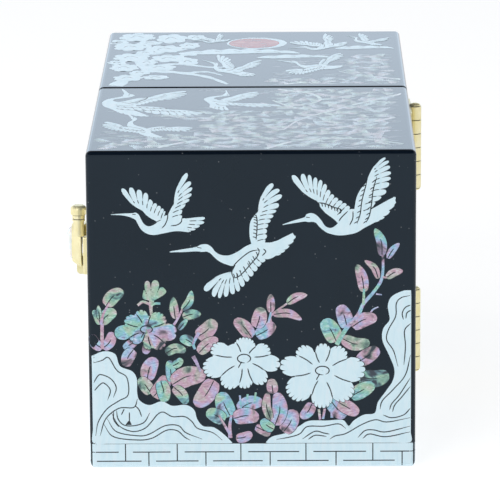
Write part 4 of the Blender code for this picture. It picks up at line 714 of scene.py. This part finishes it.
def rockRight():
    top = curve([(108.3, 62), (105.6, 61.8), (101.9, 59.9), (100.6, 57), (100.9, 54), (101.1, 51.6),
        (99, 48.6), (98.8, 44.5), (101, 39.5), (102.8, 34.5), (102.3, 30.6), (100, 26.9),
        (97.3, 23), (96.2, 19.2), (92.6, 18.6), (89.2, 16.6), (87.4, 14.7), (85.4, 16.8),
        (80, 16.6), (74, 16.5), (70.5, 14.5), (66.4, 12.3), (61.6, 11), (59.4, 9)], 150)
    foot = curve([(108.4, 60), (108.4, 58.4), (108.4, 56.4), (108.4, 54), (108.4, 51), (108.4, 48),
        (108.4, 45), (108.4, 42), (108.4, 37), (108.4, 32), (108.4, 27), (108.4, 22), (108.4, 17),
        (108.4, 12.5), (108.3, 8.9), (102, 8.7), (97, 8.7), (93, 8.7), (87, 8.7), (81, 8.7),
        (75, 8.7), (71, 8.7), (67, 8.7), (63, 8.7), (60, 8.7)], 150)
    lines = [
        [(108, 60.2), (105, 59.4), (103.4, 57.4), (103.2, 53), (100.8, 48.4), (100.2, 44.8),
            (102.5, 41), (104, 35.5)],
        [(108.4, 57), (106.4, 56), (105.4, 54), (105.8, 51.8)], [(108.6, 55.2), (107, 54.2),
            (106.6, 52.2)],
        [(108.2, 50.5), (106.2, 48), (106.5, 42.5), (106, 36)], [(108.2, 39.5), (106.5, 32.5),
            (102.5, 27.5), (98.8, 23.5), (98, 20.5)],
        [(108.2, 31.5), (104.5, 25.5), (102, 22.5), (101.2, 20.2)], [(108.2, 28.5), (105.5, 25),
            (103, 22), (102.2, 19.5)],
        [(99, 18.5), (102, 17.5), (106, 18.5), (108.2, 20.8)], [(90.5, 10.5), (93, 13), (96, 13.2),
            (100, 12.5), (108.2, 14.5)],
        [(92.2, 10.2), (94.5, 11.8), (100, 10.8), (108.2, 12.5)], [(81, 10), (83, 11.2), (86.5, 12),
            (92, 15.2), (96.5, 16.8), (100.5, 16), (108.2, 17.5)],
        [(63, 10), (67.5, 10.8), (71, 12), (73.5, 14.5), (79, 14.6), (84, 15.4), (86.5, 13.8)],
            [(71.8, 10.1), (76, 12.8), (79, 12.2), (81, 11.8)],
        [(73.8, 10), (76.2, 11.4), (80, 11)]]
    return [("shell", band(foot, top, edgeShares), 0.0)] + [cutLine(cut) for cut in lines]


# heights of the key fret's plate, its foot, its two bars and its top line, how far a bar stays
# from the stems beside it, and where the upper stems stand on an end and on a long face
fret = {"plate": (0.12, 0.25, 0.5, 0.8, 1.2, 1.8, 8.9), "foot": 0.6, "lowBar": 2.5, "highBar": 5.7,
        "top": 8.75, "highGaps": (2.5, 2.3), "lowGaps": (2.4, 2.5), "edge": 0.8, "lean": 0.45,
        "shortest": 2, "endStems": (-10, 12, 29.5, 51, 73, 95.6, 117.6),
        "longStems": np.arange(-9, 120, 21.4), "columns": (0, 0.25, 0.5, 0.8, 1.2, 1.8)}


def straightCut(a, b, c, d):
    # a bar from (a, b) to (c, d), with columns close together near both ends
    start, way = np.array([a, b]), np.array([c - a, d - b])
    length, near = np.hypot(*way), np.array(fret["columns"])
    path = start + np.r_[near, length - near[::-1]][:, None] * way / length
    aside = cutShape["width"] / 2 * np.array([-way[1], way[0]]) / length
    return ("cut", band(path - aside, path + aside), 0.0)


def fretBand(length, stems):
    # a plain key-fret border: a plate 8.5 mm high with a row of interlocking T shapes drawn
    # with straight cuts. An upper stem stands at each place of stems and a lower one 0.45 of
    # the way to the next, and each carries a bar that stops short of its neighbours
    f, start, end = fret, fret["edge"], length - fret["edge"]
    margin = np.array([start, start + 0.3, start + 0.6, 1.8])
    columns = np.concatenate([margin, np.linspace(4, length - 4, 24), length - margin[::-1]])
    plate = np.stack(np.meshgrid(columns, f["plate"], indexing="ij"), -1)
    uppers = np.asarray(stems, float)
    lowers = uppers[:-1] + f["lean"] * np.diff(uppers)
    cuts = [(u, f["lowBar"], u, f["top"]) for u in uppers]
    cuts += [(u, f["foot"], u, f["highBar"]) for u in lowers] + [(start, f["top"], end, f["top"])]
    for row, height, gaps in ((uppers, f["highBar"], f["highGaps"]),
                              (lowers, f["lowBar"], f["lowGaps"])):
        cuts += [(a + gaps[0], height, b - gaps[1], height) for a, b in zip(row[:-1], row[1:])]
    cuts = [(max(a, start), b, min(c, end), d) for a, b, c, d in cuts
            if c >= start + 1 and a <= end - 1]
    return [("shell", plate, 0.0)] + [straightCut(*cut) for cut in cuts
                                      if max(cut[2] - cut[0], cut[3] - cut[1]) > f["shortest"]]


print("motifs drawn")

# laying the motifs on the faces, in millimetres
case = {"left": -100.0, "right": 100.0, "front": -51.25, "back": 58.75, "height": 110.0,
        "edgeRadius": 1.8}
depth, long = case["back"] - case["front"], case["right"] - case["left"]
# origin, direction of u, direction of v, outward direction, size along u and v
faces = {
    "right_end": ((case["right"], case["front"], 0), (0, 1, 0), (0, 0, 1), (1, 0, 0),
                  (depth, case["height"])),
    "left_end": ((case["left"], case["back"], 0), (0, -1, 0), (0, 0, 1), (-1, 0, 0),
                 (depth, case["height"])),
    "top": ((case["left"], case["front"], case["height"]), (0, 1, 0), (1, 0, 0), (0, 0, 1),
            (depth, long)),
    "front": ((case["left"], case["front"], 0), (1, 0, 0), (0, 0, 1), (0, -1, 0),
              (long, case["height"])),
    "back": ((case["right"], case["back"], 0), (-1, 0, 0), (0, 0, 1), (0, 1, 0),
             (long, case["height"]))}
# heights over the face: the lowest sheet's, then a step for each sheet. An outline lies within
# the step before its sheet and a cut within the step after it. Every slab is sunk in the face
layers = {"lowest": 0.006, "step": 0.0014, "outline": 0.55, "cut": 0.45, "paleSteps": 12,
          "sunk": 0.05}


def edgeDrop(distance):
    # how far the rounded edge of the case has fallen away at a distance from its corner
    r = case["edgeRadius"]
    inside = np.clip((r - distance) / r, 0, 0.98)
    return r * (1 - np.sqrt(1 - inside ** 2))


def slabMesh(name, sheets, face):
    # joins thin closed slabs: each is its sheet at its lift above the face, the same sheet
    # sunk below the face, and the wall between their borders. A sheet whose last row is its
    # first is a ring, joined there
    origin, uAxis, vAxis, out, size = [np.asarray(f, float) for f in faces[face]]
    hand = np.sign(np.dot(np.cross(uAxis, vAxis), out))
    points, quads, tones, start = [], [], [], 0
    for grid, tone, lift in sheets:
        a, b, c, d = grid[:-1, :-1], grid[1:, :-1], grid[1:, 1:], grid[:-1, 1:]
        area = ((c - a)[..., 0] * (d - b)[..., 1] - (c - a)[..., 1] * (d - b)[..., 0]).sum()
        grid = grid[::-1] if area * hand < 0 else grid
        ring = np.allclose(grid[0], grid[-1])
        grid = grid[:-1] if ring else grid
        n, m = grid.shape[:2]
        u, v = grid[..., 0:1], grid[..., 1:2]
        drop = edgeDrop(np.minimum(u, size[0] - u)) + edgeDrop(np.minimum(v, size[1] - v))
        flat = origin + u * uAxis + v * vAxis - drop * out
        points += [(flat + lift * out).reshape(-1, 3),
                   (flat - layers["sunk"] * out).reshape(-1, 3)]
        index = np.arange(n * m).reshape(n, m)
        wrapped = np.concatenate([index, index[:1]]) if ring else index
        top = np.stack([wrapped[:-1, :-1], wrapped[1:, :-1], wrapped[1:, 1:],
                        wrapped[:-1, 1:]], -1).reshape(-1, 4)
        rims = [wrapped[:, 0], wrapped[::-1, -1]] if ring else \
            [np.concatenate([index[:, 0], index[-1, 1:], index[-2::-1, -1], index[0, -2::-1]])]
        walls = [np.stack([rim[1:], rim[:-1], rim[:-1] + n * m, rim[1:] + n * m], -1)
                 for rim in rims]
        quads.append(np.concatenate([top, top[:, ::-1] + n * m] + walls) + start)
        tones.append(np.full(2 * n * m, tone))
        start += 2 * n * m
    made = meshPiece(name, np.concatenate(points) / 1000, np.concatenate(quads))
    tone = made.data.attributes.new("tone", "FLOAT", "POINT")
    tone.data.foreach_set("value", np.concatenate(tones).astype(np.float32))
    return made


def layMotifs(face, side, motifs, body):
    # pieces come in the order they are laid: each sheet lies a step above the sheet before it,
    # with its dark outline half a step under it and its cuts half a step over it. The many
    # pale blades share the lowest steps, and on the top the other sheets lie over them
    sheets, order = {}, layers["paleSteps"] if face == "top" else 0
    for finish, grid, tone in sum(motifs, []):
        order += finish not in ("cut", "under", "pale")
        level = order + {"cut": layers["cut"], "under": layers["outline"]}.get(finish, 0)
        if finish == "pale":
            level = len(sheets.get("pale", ())) % layers["paleSteps"]
        lift = layers["lowest"] + layers["step"] * level
        sheets.setdefault(finish, []).append((grid, tone, lift))
    for finish, rows in sheets.items():
        made = slabMesh("_".join(filter(None, (face, side, finish, "inlay"))), rows, face)
        made.data.materials.append(finishes[finish])
        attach(made, body)


cranes = craneA() + craneB() + craneC()
endLayers = [fretBand(depth, fret["endStems"]) + rockLeft() + rockRight(), leaves + peonyBud,
             bluePeony, whiteFlowerTwo + cranes, whiteFlowerOne]
layMotifs("right_end", "", endLayers, "right_half")
layMotifs("left_end", "", endLayers, "left_half")
print("ends inlaid")


def pineBurst(radius, tone):
    # a half fan of thirteen needles that grow from one point
    made = []
    for angle in np.radians(np.linspace(8, 172, 13)):
        way = radius * np.array([np.cos(angle), np.sin(angle)])
        needle = [way * 0.5 / radius, way * 0.6, way * (0.85 + 0.15 * np.sin(angle))]
        made.append(("pale", ribbon(needle, [0.08, 0.16, 0.17, 0.06], 4), tone))
    return made


def cloud(centre, size, lobes):
    # a flat-bottomed cloud: a row of round lobes on top, a shallow wave below
    s = np.linspace(0, 1, 12 * lobes + 1)
    x = centre[0] + size[0] * (s - 0.5)
    lobed = 0.72 + 0.28 * np.abs(np.sin(np.pi * lobes * s))
    top = np.stack([x, centre[1] - size[1] * np.sqrt(np.sin(np.pi * s)) * lobed], 1)
    foot = np.stack([x, centre[1] + 0.12 * size[1] * np.sin(2 * np.pi * s) + 0.05], 1)
    return [("shell", band(top, foot), 0.0)] + \
        [cutLine(top[k:k + 6] + (0, 0.34 * size[1]), 0.3, 10) for k in range(8, len(s) - 12, 12)]


def lump(centre, size, lobes, turn):
    # a foliage mass: an oval whose edge goes in and out in rounded lobes, as the sheet
    # between its left and right halves, with a bowed cut inside
    c, size = np.array(centre), np.array(size)
    s = np.linspace(-np.pi / 2, np.pi / 2, 60)
    halves = []
    for side in (-1, 1):
        angle = s if side > 0 else np.pi - s
        reach = 0.80 + 0.20 * np.abs(np.sin(lobes * (angle + turn) / 2))
        way = reach[:, None] * np.stack([np.cos(angle), np.sin(angle)], 1)
        halves.append(c + size * way + (side * 0.01, 0))
    vein = [c + size * k for k in ((-0.4, 0.1), (-0.1, -0.3), (0.35, 0.05))]
    return [("shell", band(*halves), 0.0), cutLine(vein, 0.4)]


# an old tree that leans in from the front: branches as (line, half width), and lobed masses
# of foliage as (place, half size, lobes, turn)
pine = {
    "branches": [([(6, 97), (10, 84), (16, 70), (12, 50), (16, 30), (10, 8)], 2.6),
                 ([(14, 72), (26, 74), (38, 82), (46, 95)], 2.4),
                 ([(15, 66), (27, 60), (40, 66), (47, 64)], 1.8),
                 ([(13, 44), (24, 38), (33, 30)], 1.8), ([(30, 76), (38, 74), (44, 80)], 1.4)],
    "foliage": [
        ((11, 11), (7, 8), 7, 0.2), ((24, 14), (6, 9), 6, 0.9), ((9, 29), (6.5, 7.5), 7, 0.5),
        ((22, 33), (7.5, 7), 8, 0.1), ((31, 27), (4, 6), 6, 0.3), ((10, 48), (7, 8), 8, 0.7),
        ((24, 50), (7, 7), 7, 0.4), ((8, 66), (5.5, 7), 7, 0.2), ((21, 66), (6, 6), 6, 0.8),
        ((31, 56), (4, 7), 6, 0.1), ((10, 84), (5.5, 6), 7, 0.6), ((20, 83), (5, 4), 6, 0.3),
        ((4.5, 20), (3.5, 5), 5, 0.4), ((16, 22), (5, 4), 6, 0.8), ((15, 40), (4, 4), 5, 0.5),
        ((5, 57), (3.6, 4), 5, 0.1), ((16, 57), (4, 5), 6, 0.6), ((31, 42), (4, 4), 5, 0.9),
        ((14, 75), (4, 4), 5, 0.2), ((33, 12), (4, 5), 5, 0.3)]}


def pineTree():
    # each branch thins to its tip and swells a little along the way
    s = np.linspace(0, 1, 50)
    made = [("shell", ribbon(points, wide * (1 - 0.7 * s) * (1 + 0.2 * np.sin(30 * s)), 50), 0.0)
            for points, wide in pine["branches"]]
    return made + [piece for row in pine["foliage"] for piece in lump(*row)]


def fitted(motif, degrees, low, high):
    # the motif turned by so many degrees, then stretched to fill the rectangle from low to
    # high; on the top, up in the picture is away from the right end
    leant = placed(motif, degrees=degrees, mirror=(1, -1))
    every = np.concatenate([grid.reshape(-1, 2) for _, grid, _ in leant])
    least, most = every.min(0), every.max(0)
    stretch = (np.array(high) - low) / (most - least)
    return [(finish, (grid - least) * stretch + low, tone) for finish, grid, tone in leant]


rng = np.random.default_rng(7)
cover = {"burst": 4.0, "scales": (0.75, 1.1), "shake": 0.35, "lean": 25, "bend": 0.1,
         "lengths": (3, 8), "bladeWidths": [0.05, 0.12, 0.15, 0.12, 0.05]}


def clear(place, away):
    # whether the place is outside every circle (u, v, radius) of away
    return all(np.hypot(*(place - (a, b))) > r for a, b, r in away)


def groundCover(low, high, step, away=()):
    # pine bursts on a shaken grid from low to high corner, none inside the circles of away
    made = []
    for u in np.arange(low[0], high[0], step):
        for v in np.arange(low[1], high[1], step):
            shake = rng.uniform(-cover["shake"], cover["shake"], 2) * step
            place = np.clip(np.array([u, v]) + shake, low, high)
            tone, turn, scale = rng.uniform((0, -180, cover["scales"][0]),
                                            (1, 180, cover["scales"][1]))
            if clear(place, away):
                made += placed(pineBurst(cover["burst"], tone), place, scale, turn)
    return made


def grass(low, high, count, away=()):
    # thin bowed blades that lie within 25 degrees of the u axis, none inside the circles of away
    made, (lean, bend), (least, most) = [], (cover["lean"], cover["bend"]), cover["lengths"]
    for u, v, length, angle, bow, tone in rng.uniform(
            (*low, least, -lean, -bend, 0), (*high, most, lean, bend, 1), (count, 6)):
        reach = length / 2 * np.array([np.cos(np.radians(angle)), np.sin(np.radians(angle))])
        place = np.clip((u, v), low + np.abs(reach), high - np.abs(reach))
        if clear(place, away):
            blade = arc(place - reach, place + reach, bow)
            made.append(("pale", ribbon(blade, cover["bladeWidths"], 5), tone))
    return made


def twigs(lines, tone=0.45):
    return [("pale", ribbon(points, np.linspace(0.9, 0.35, 8 * len(points))), tone)
            for points in lines]


# circles on the top that cranes keep clear of needles: u, v and radius
nearAway = [(12, 112, 17), (22, 128, 17), (48, 120, 13), (56, 128, 9), (10, 152, 14),
            (20, 163, 14), (30, 160, 10), (30, 116, 14)]
nearTwigs = twigs([
    [(108, 112), (92, 128), (82, 140), (72, 152), (66, 168)], [(104, 150), (90, 162), (76, 168)],
    [(60, 196), (72, 184), (90, 182), (106, 190)], [(24, 194), (36, 184), (52, 180)],
    [(82, 140), (70, 134), (62, 122)], [(64, 104), (76, 112), (78, 124), (66, 132), (58, 126)]])
nearNeedles = grass((4, 104), (106, 196), 620, nearAway)
for low, high in (((20, 141), (104, 194)), ((66, 106), (104, 140)), ((6, 182), (20, 194))):
    nearNeedles += groundCover(low, high, 5.0, nearAway)
nearCranes = fitted(craneC(), -92, (2.5, 102), (38, 147)) \
    + fitted(craneA(), -86, (38, 105), (65, 138)) + fitted(craneB(), -70, (4, 139), (35, 180))
layMotifs("top", "near", [nearTwigs, nearNeedles, nearCranes], "right_half")

farTrees = [oval((56, 23), (11.2, 10.2), "shell") + pineTree(), oval((55, 23), (9.4, 8.6), "sun")
            + twigs([[(108, 88), (96, 82), (86, 74)], [(66, 95), (74, 93), (84, 95)]], 0.5)]
farGround = cloud((50, 42), (44, 9), 6) + cloud((70, 50), (28, 6), 4) \
    + cloud((96, 34), (22, 6), 4) + grass((62, 44), (106, 96), 130) \
    + groundCover((92, 46), (104, 94), 5.2) + groundCover((62, 88), (90, 94), 5.2)
farCranes = []
for crane, lean, low, high in (
        (craneA, -30, (36, 44), (58, 82)), (craneB, -20, (63, 42), (88, 79)),
        (craneA, 20, (68, 6), (90, 36)), (craneA, -40, (90, 6), (106, 28)),
        (craneA, 10, (32, 5), (46, 22))):
    farCranes += fitted(crane(), lean, low, high)
layMotifs("top", "far", farTrees + [farGround, farCranes], "left_half")
print("top inlaid")

# an end's motifs on a long face: their scale, where they stand over the border, and where each
# half's border and motifs start
longFace = {"scale": 0.89, "foot": 8.7, "half": 100, "border": 99.0, "borderStarts": (0.2, 0.8),
            "motifStart": 0.4, "plain": 0.2, "mirrored": 99.0}


def layLongFace(face, bodies):
    # each half has its own border, rock, flowers and cranes; tall rocks stand at the outer corners
    f = longFace
    for side, (body, mirrored) in enumerate(zip(bodies, (True, False))):
        place = (side * f["half"] + f["motifStart"] + (f["mirrored"] if mirrored else f["plain"]),
                 f["foot"] * (1 - f["scale"]))
        layer = [placed(motif, place, f["scale"], 0, (-1 if mirrored else 1, 1)) for motif in
                 (rockLeft() + rockRight(), leaves + peonyBud, bluePeony,
                  whiteFlowerTwo + cranes, whiteFlowerOne)]
        border = placed(fretBand(f["border"], fret["longStems"]),
                        (side * f["half"] + f["borderStarts"][side], 0))
        layMotifs(face, body.split("_")[0], [border + layer[0]] + layer[1:], body)


layLongFace("front", ("left_half", "right_half"))
layLongFace("back", ("right_half", "left_half"))
print("front and back inlaid")

# soft goods: velvet over wadding, blown up as cloth where it isn't sewn down; in metres
cloth = {"timesLife": 10.0, "pressure": 4.0, "frames": 20}


def cushionShell(low, high, rise, counts, wallRows):
    # a closed form on a rectangle: a flat base, upright sides in wallRows steps, and a top
    # whose height over the base is rise at each place (u, v) of a grid from 0 to 1
    u, v = np.meshgrid(*[np.linspace(0, 1, count) for count in counts], indexing="ij")
    size = np.array(high) - low
    base = np.stack([low[0] + u * size[0], low[1] + v * size[1], low[2] + 0 * u], -1)
    top = base + np.stack([0 * u, 0 * u, rise(u, v)], -1)
    base, top = base.reshape(-1, 3), top.reshape(-1, 3)
    index = np.arange(u.size).reshape(u.shape)
    rim = np.concatenate([index[:, 0], index[-1, 1:], index[-2::-1, -1], index[0, -2:0:-1]])
    middle = range(wallRows - 1)
    rings = [rim + u.size] + [2 * u.size + k * len(rim) + np.arange(len(rim)) for k in middle]
    steps = [base[rim] + (top[rim] - base[rim]) * (k + 1) / wallRows for k in middle]
    deck = np.stack([index[:-1, :-1], index[1:, :-1], index[1:, 1:], index[:-1, 1:]], -1)
    deck = deck.reshape(-1, 4)
    walls = [np.stack([a, np.roll(a, -1), np.roll(b, -1), b], -1)
             for a, b in zip(rings, rings[1:] + [rim])]
    return np.concatenate([top, base] + steps), \
        np.concatenate([deck, deck[:, ::-1] + u.size] + walls), u.ravel(), v.ravel()


def plump(name, points, quads, held, swell):
    # the shell under air pressure as cloth, ten times life size, where the solver is steady;
    # held points stay, and no point moves further than swell
    made = meshPiece(name, points * cloth["timesLife"], quads)
    made.vertex_groups.new(name="sewn").add(np.flatnonzero(held).tolist(), 1.0, "REPLACE")
    solver = made.modifiers.new("cloth", "CLOTH")
    solver.settings.use_pressure = True
    solver.settings.uniform_pressure_force = cloth["pressure"]
    solver.settings.effector_weights.gravity = 0
    solver.settings.vertex_group_mass = "sewn"
    solver.point_cache.frame_end = cloth["frames"]
    for step in range(1, cloth["frames"] + 1):
        bpy.context.scene.frame_set(step)
    blown = np.empty(points.size)
    now = made.evaluated_get(bpy.context.evaluated_depsgraph_get())
    now.data.vertices.foreach_get("co", blown)
    made.modifiers.remove(solver)
    made.vertex_groups.clear()
    bpy.context.scene.frame_set(1)
    move = blown.reshape(-1, 3) / cloth["timesLife"] - points
    far = np.linalg.norm(move, axis=1)[:, None]
    print(name, "swells by", f"{far.max() * 1000:.2f} mm before its cap")
    points = points + move * np.minimum(1, swell / (far + 1e-9))
    made.data.vertices.foreach_set("co", points.ravel())
    made.data.update()
    made.data.shade_smooth()
    softer = made.modifiers.new("softer", "SUBSURF")
    softer.levels = softer.render_levels = 1
    return made


def upholster(made, body, node=None, fill=None):
    made.data.materials.append(slotFinish["velvet"])
    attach(made, body)
    if node:
        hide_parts(node)


pipingCord = {"radius": 0.00055, "corner": 0.002, "overFloor": 0.0001, "around": 8}


def piping(name, low, high, height):
    # a sewn cord round the pad's edge: a small circle carried round a rounded rectangle, whose
    # straight sides have a few points near each corner
    r, corner = pipingCord["radius"], pipingCord["corner"]
    turn = np.linspace(0, 2 * np.pi, 41)[:-1]
    way = np.stack([np.cos(turn), np.sin(turn)], 1)
    straight = (np.array(high[:2]) - low[:2]) / 2 - r - corner
    path = (np.array(low[:2]) + high[:2]) / 2 + corner * way \
        + straight * np.sign(np.round(way + 1e-9 * way[:, ::-1], 6))
    shares = [np.linspace(0, 1, 8 if k % 10 in (0, 9) else 2)[:-1, None] for k in range(40)]
    path = np.concatenate([a + (b - a) * s for a, b, s in zip(path, np.roll(path, -1, 0), shares)])
    around = np.linspace(0, 2 * np.pi, pipingCord["around"] + 1)[:-1]
    ahead = np.roll(path, -1, 0) - np.roll(path, 1, 0)
    outward = np.stack([ahead[:, 1], -ahead[:, 0]], 1) / np.linalg.norm(ahead, axis=1)[:, None]
    ring = path[:, None] + r * np.cos(around)[None, :, None] * outward[:, None]
    heights = np.broadcast_to(height + r * np.sin(around)[None, :, None], (*ring.shape[:2], 1))
    points = np.concatenate([ring, heights], -1).reshape(-1, 3)
    index = np.arange(len(points)).reshape(-1, len(around))
    after, beside = np.roll(index, -1, 0), np.roll(index, -1, 1)
    quads = np.stack([index, after, np.roll(after, -1, 1), beside], -1).reshape(-1, 4)
    made = meshPiece(name, points, quads)
    made.data.shade_smooth()
    return made


# a pad's grid cell, its height at the edge and in the middle, how far it may swell, its inset
# from the edge in piping radii, and the slack cells beside a seam
pad = {"cell": 0.0022, "edge": 0.0006, "middle": 0.0010, "swell": 0.0012, "inset": 1.6,
       "fill": 0.5, "seamRise": 3, "seamHold": 1.1}


def makePad(node, body, seams=()):
    # a thin crowned pad, sewn down round its edge and along the seams, which are
    # (axis, place in metres)
    low, high = [np.array(corner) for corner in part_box(node)]
    inset = pad["inset"] * pipingCord["radius"]
    lowIn, highIn = low + (inset, inset, 0), high - (inset, inset, 0)
    counts = [int((highIn[k] - lowIn[k]) / pad["cell"]) + 1 for k in (0, 1)]
    sewn = [(axis, (place - lowIn[axis]) / (highIn[axis] - lowIn[axis])) for axis, place in seams]

    def rise(u, v):
        crown = (1 - (2 * u - 1) ** 10) * (1 - (2 * v - 1) ** 10)
        for axis, place in sewn:
            away = np.abs((u, v)[axis] - place) * counts[axis]
            crown = crown * np.minimum(1, away / pad["seamRise"])
        return pad["edge"] + (pad["middle"] - pad["edge"]) * crown

    points, quads, u, v = cushionShell(lowIn, highIn, rise, counts, 1)
    held = np.ones(len(points), bool)
    free = np.minimum(np.minimum(u, 1 - u) * counts[0], np.minimum(v, 1 - v) * counts[1]) > 0.5
    for axis, place in sewn:
        free &= np.abs((u, v)[axis] - place) * counts[axis] > pad["seamHold"]
    held[:len(u)] = ~free
    upholster(plump(f"velvet_{node}", points, quads, held, pad["swell"]), body, node, pad["fill"])
    cordHeight = low[2] + pipingCord["radius"] + pipingCord["overFloor"]
    upholster(piping(f"{node}_piping", low, high, cordHeight), body)


ringRolls = {"count": 6, "cells": 12, "rows": 64, "base": 0.006, "swell": 0.0009,
             "inset": 0.0003, "fill": 0.8}


def makeRingCushion(node, body):
    # soft rolls side by side, sewn down in the channels between them, closed at their ends
    rolls, inset = ringRolls, np.array([ringRolls["inset"], ringRolls["inset"], 0])
    low, high = [np.array(corner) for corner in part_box(node)]
    low, high = low + inset, high - inset
    tall = high[2] - low[2] - rolls["base"] - rolls["swell"]
    cells = rolls["count"] * rolls["cells"]

    def rise(u, v):
        roll = np.sqrt(np.maximum(0, 1 - (2 * ((u * rolls["count"]) % 1) - 1) ** 2))
        fromEnd = np.minimum(1, np.minimum(v, 1 - v) * (high[1] - low[1]) / tall)
        return rolls["base"] + tall * roll * np.sqrt(1 - (1 - fromEnd) ** 2)

    points, quads, u, v = cushionShell(low, high, rise, (cells + 1, rolls["rows"]), 3)
    held = np.ones(len(points), bool)
    held[:len(u)] = (np.round(u * cells) % rolls["cells"] == 0) | (np.minimum(v, 1 - v) < 0.002)
    upholster(plump("velvet_ring_rolls", points, quads, held, rolls["swell"]), body, node,
              rolls["fill"])


def seamUnder(divider):
    # the thinner way of a divider as an axis, and its middle along that axis
    low, high = np.array(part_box(divider))[:, :2]
    axis = int(np.argmin(high - low))
    return axis, (low[axis] + high[axis]) / 2


makePad("drawer_pad_1", "lower_drawer")
makePad("drawer_pad_2", "middle_drawer",
        [seamUnder("drawer_divider_long"), seamUnder("drawer_divider_short")])
makePad("pocket_pad", "right_half")
makeRingCushion("ring_cushion", "upper_drawer")
print("soft goods made")

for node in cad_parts.values():
    slotName = node.data.materials[0].name.split(".")[0]
    for i in range(len(node.data.materials)):
        node.data.materials[i] = slotFinish[slotName]
print("finishes set")
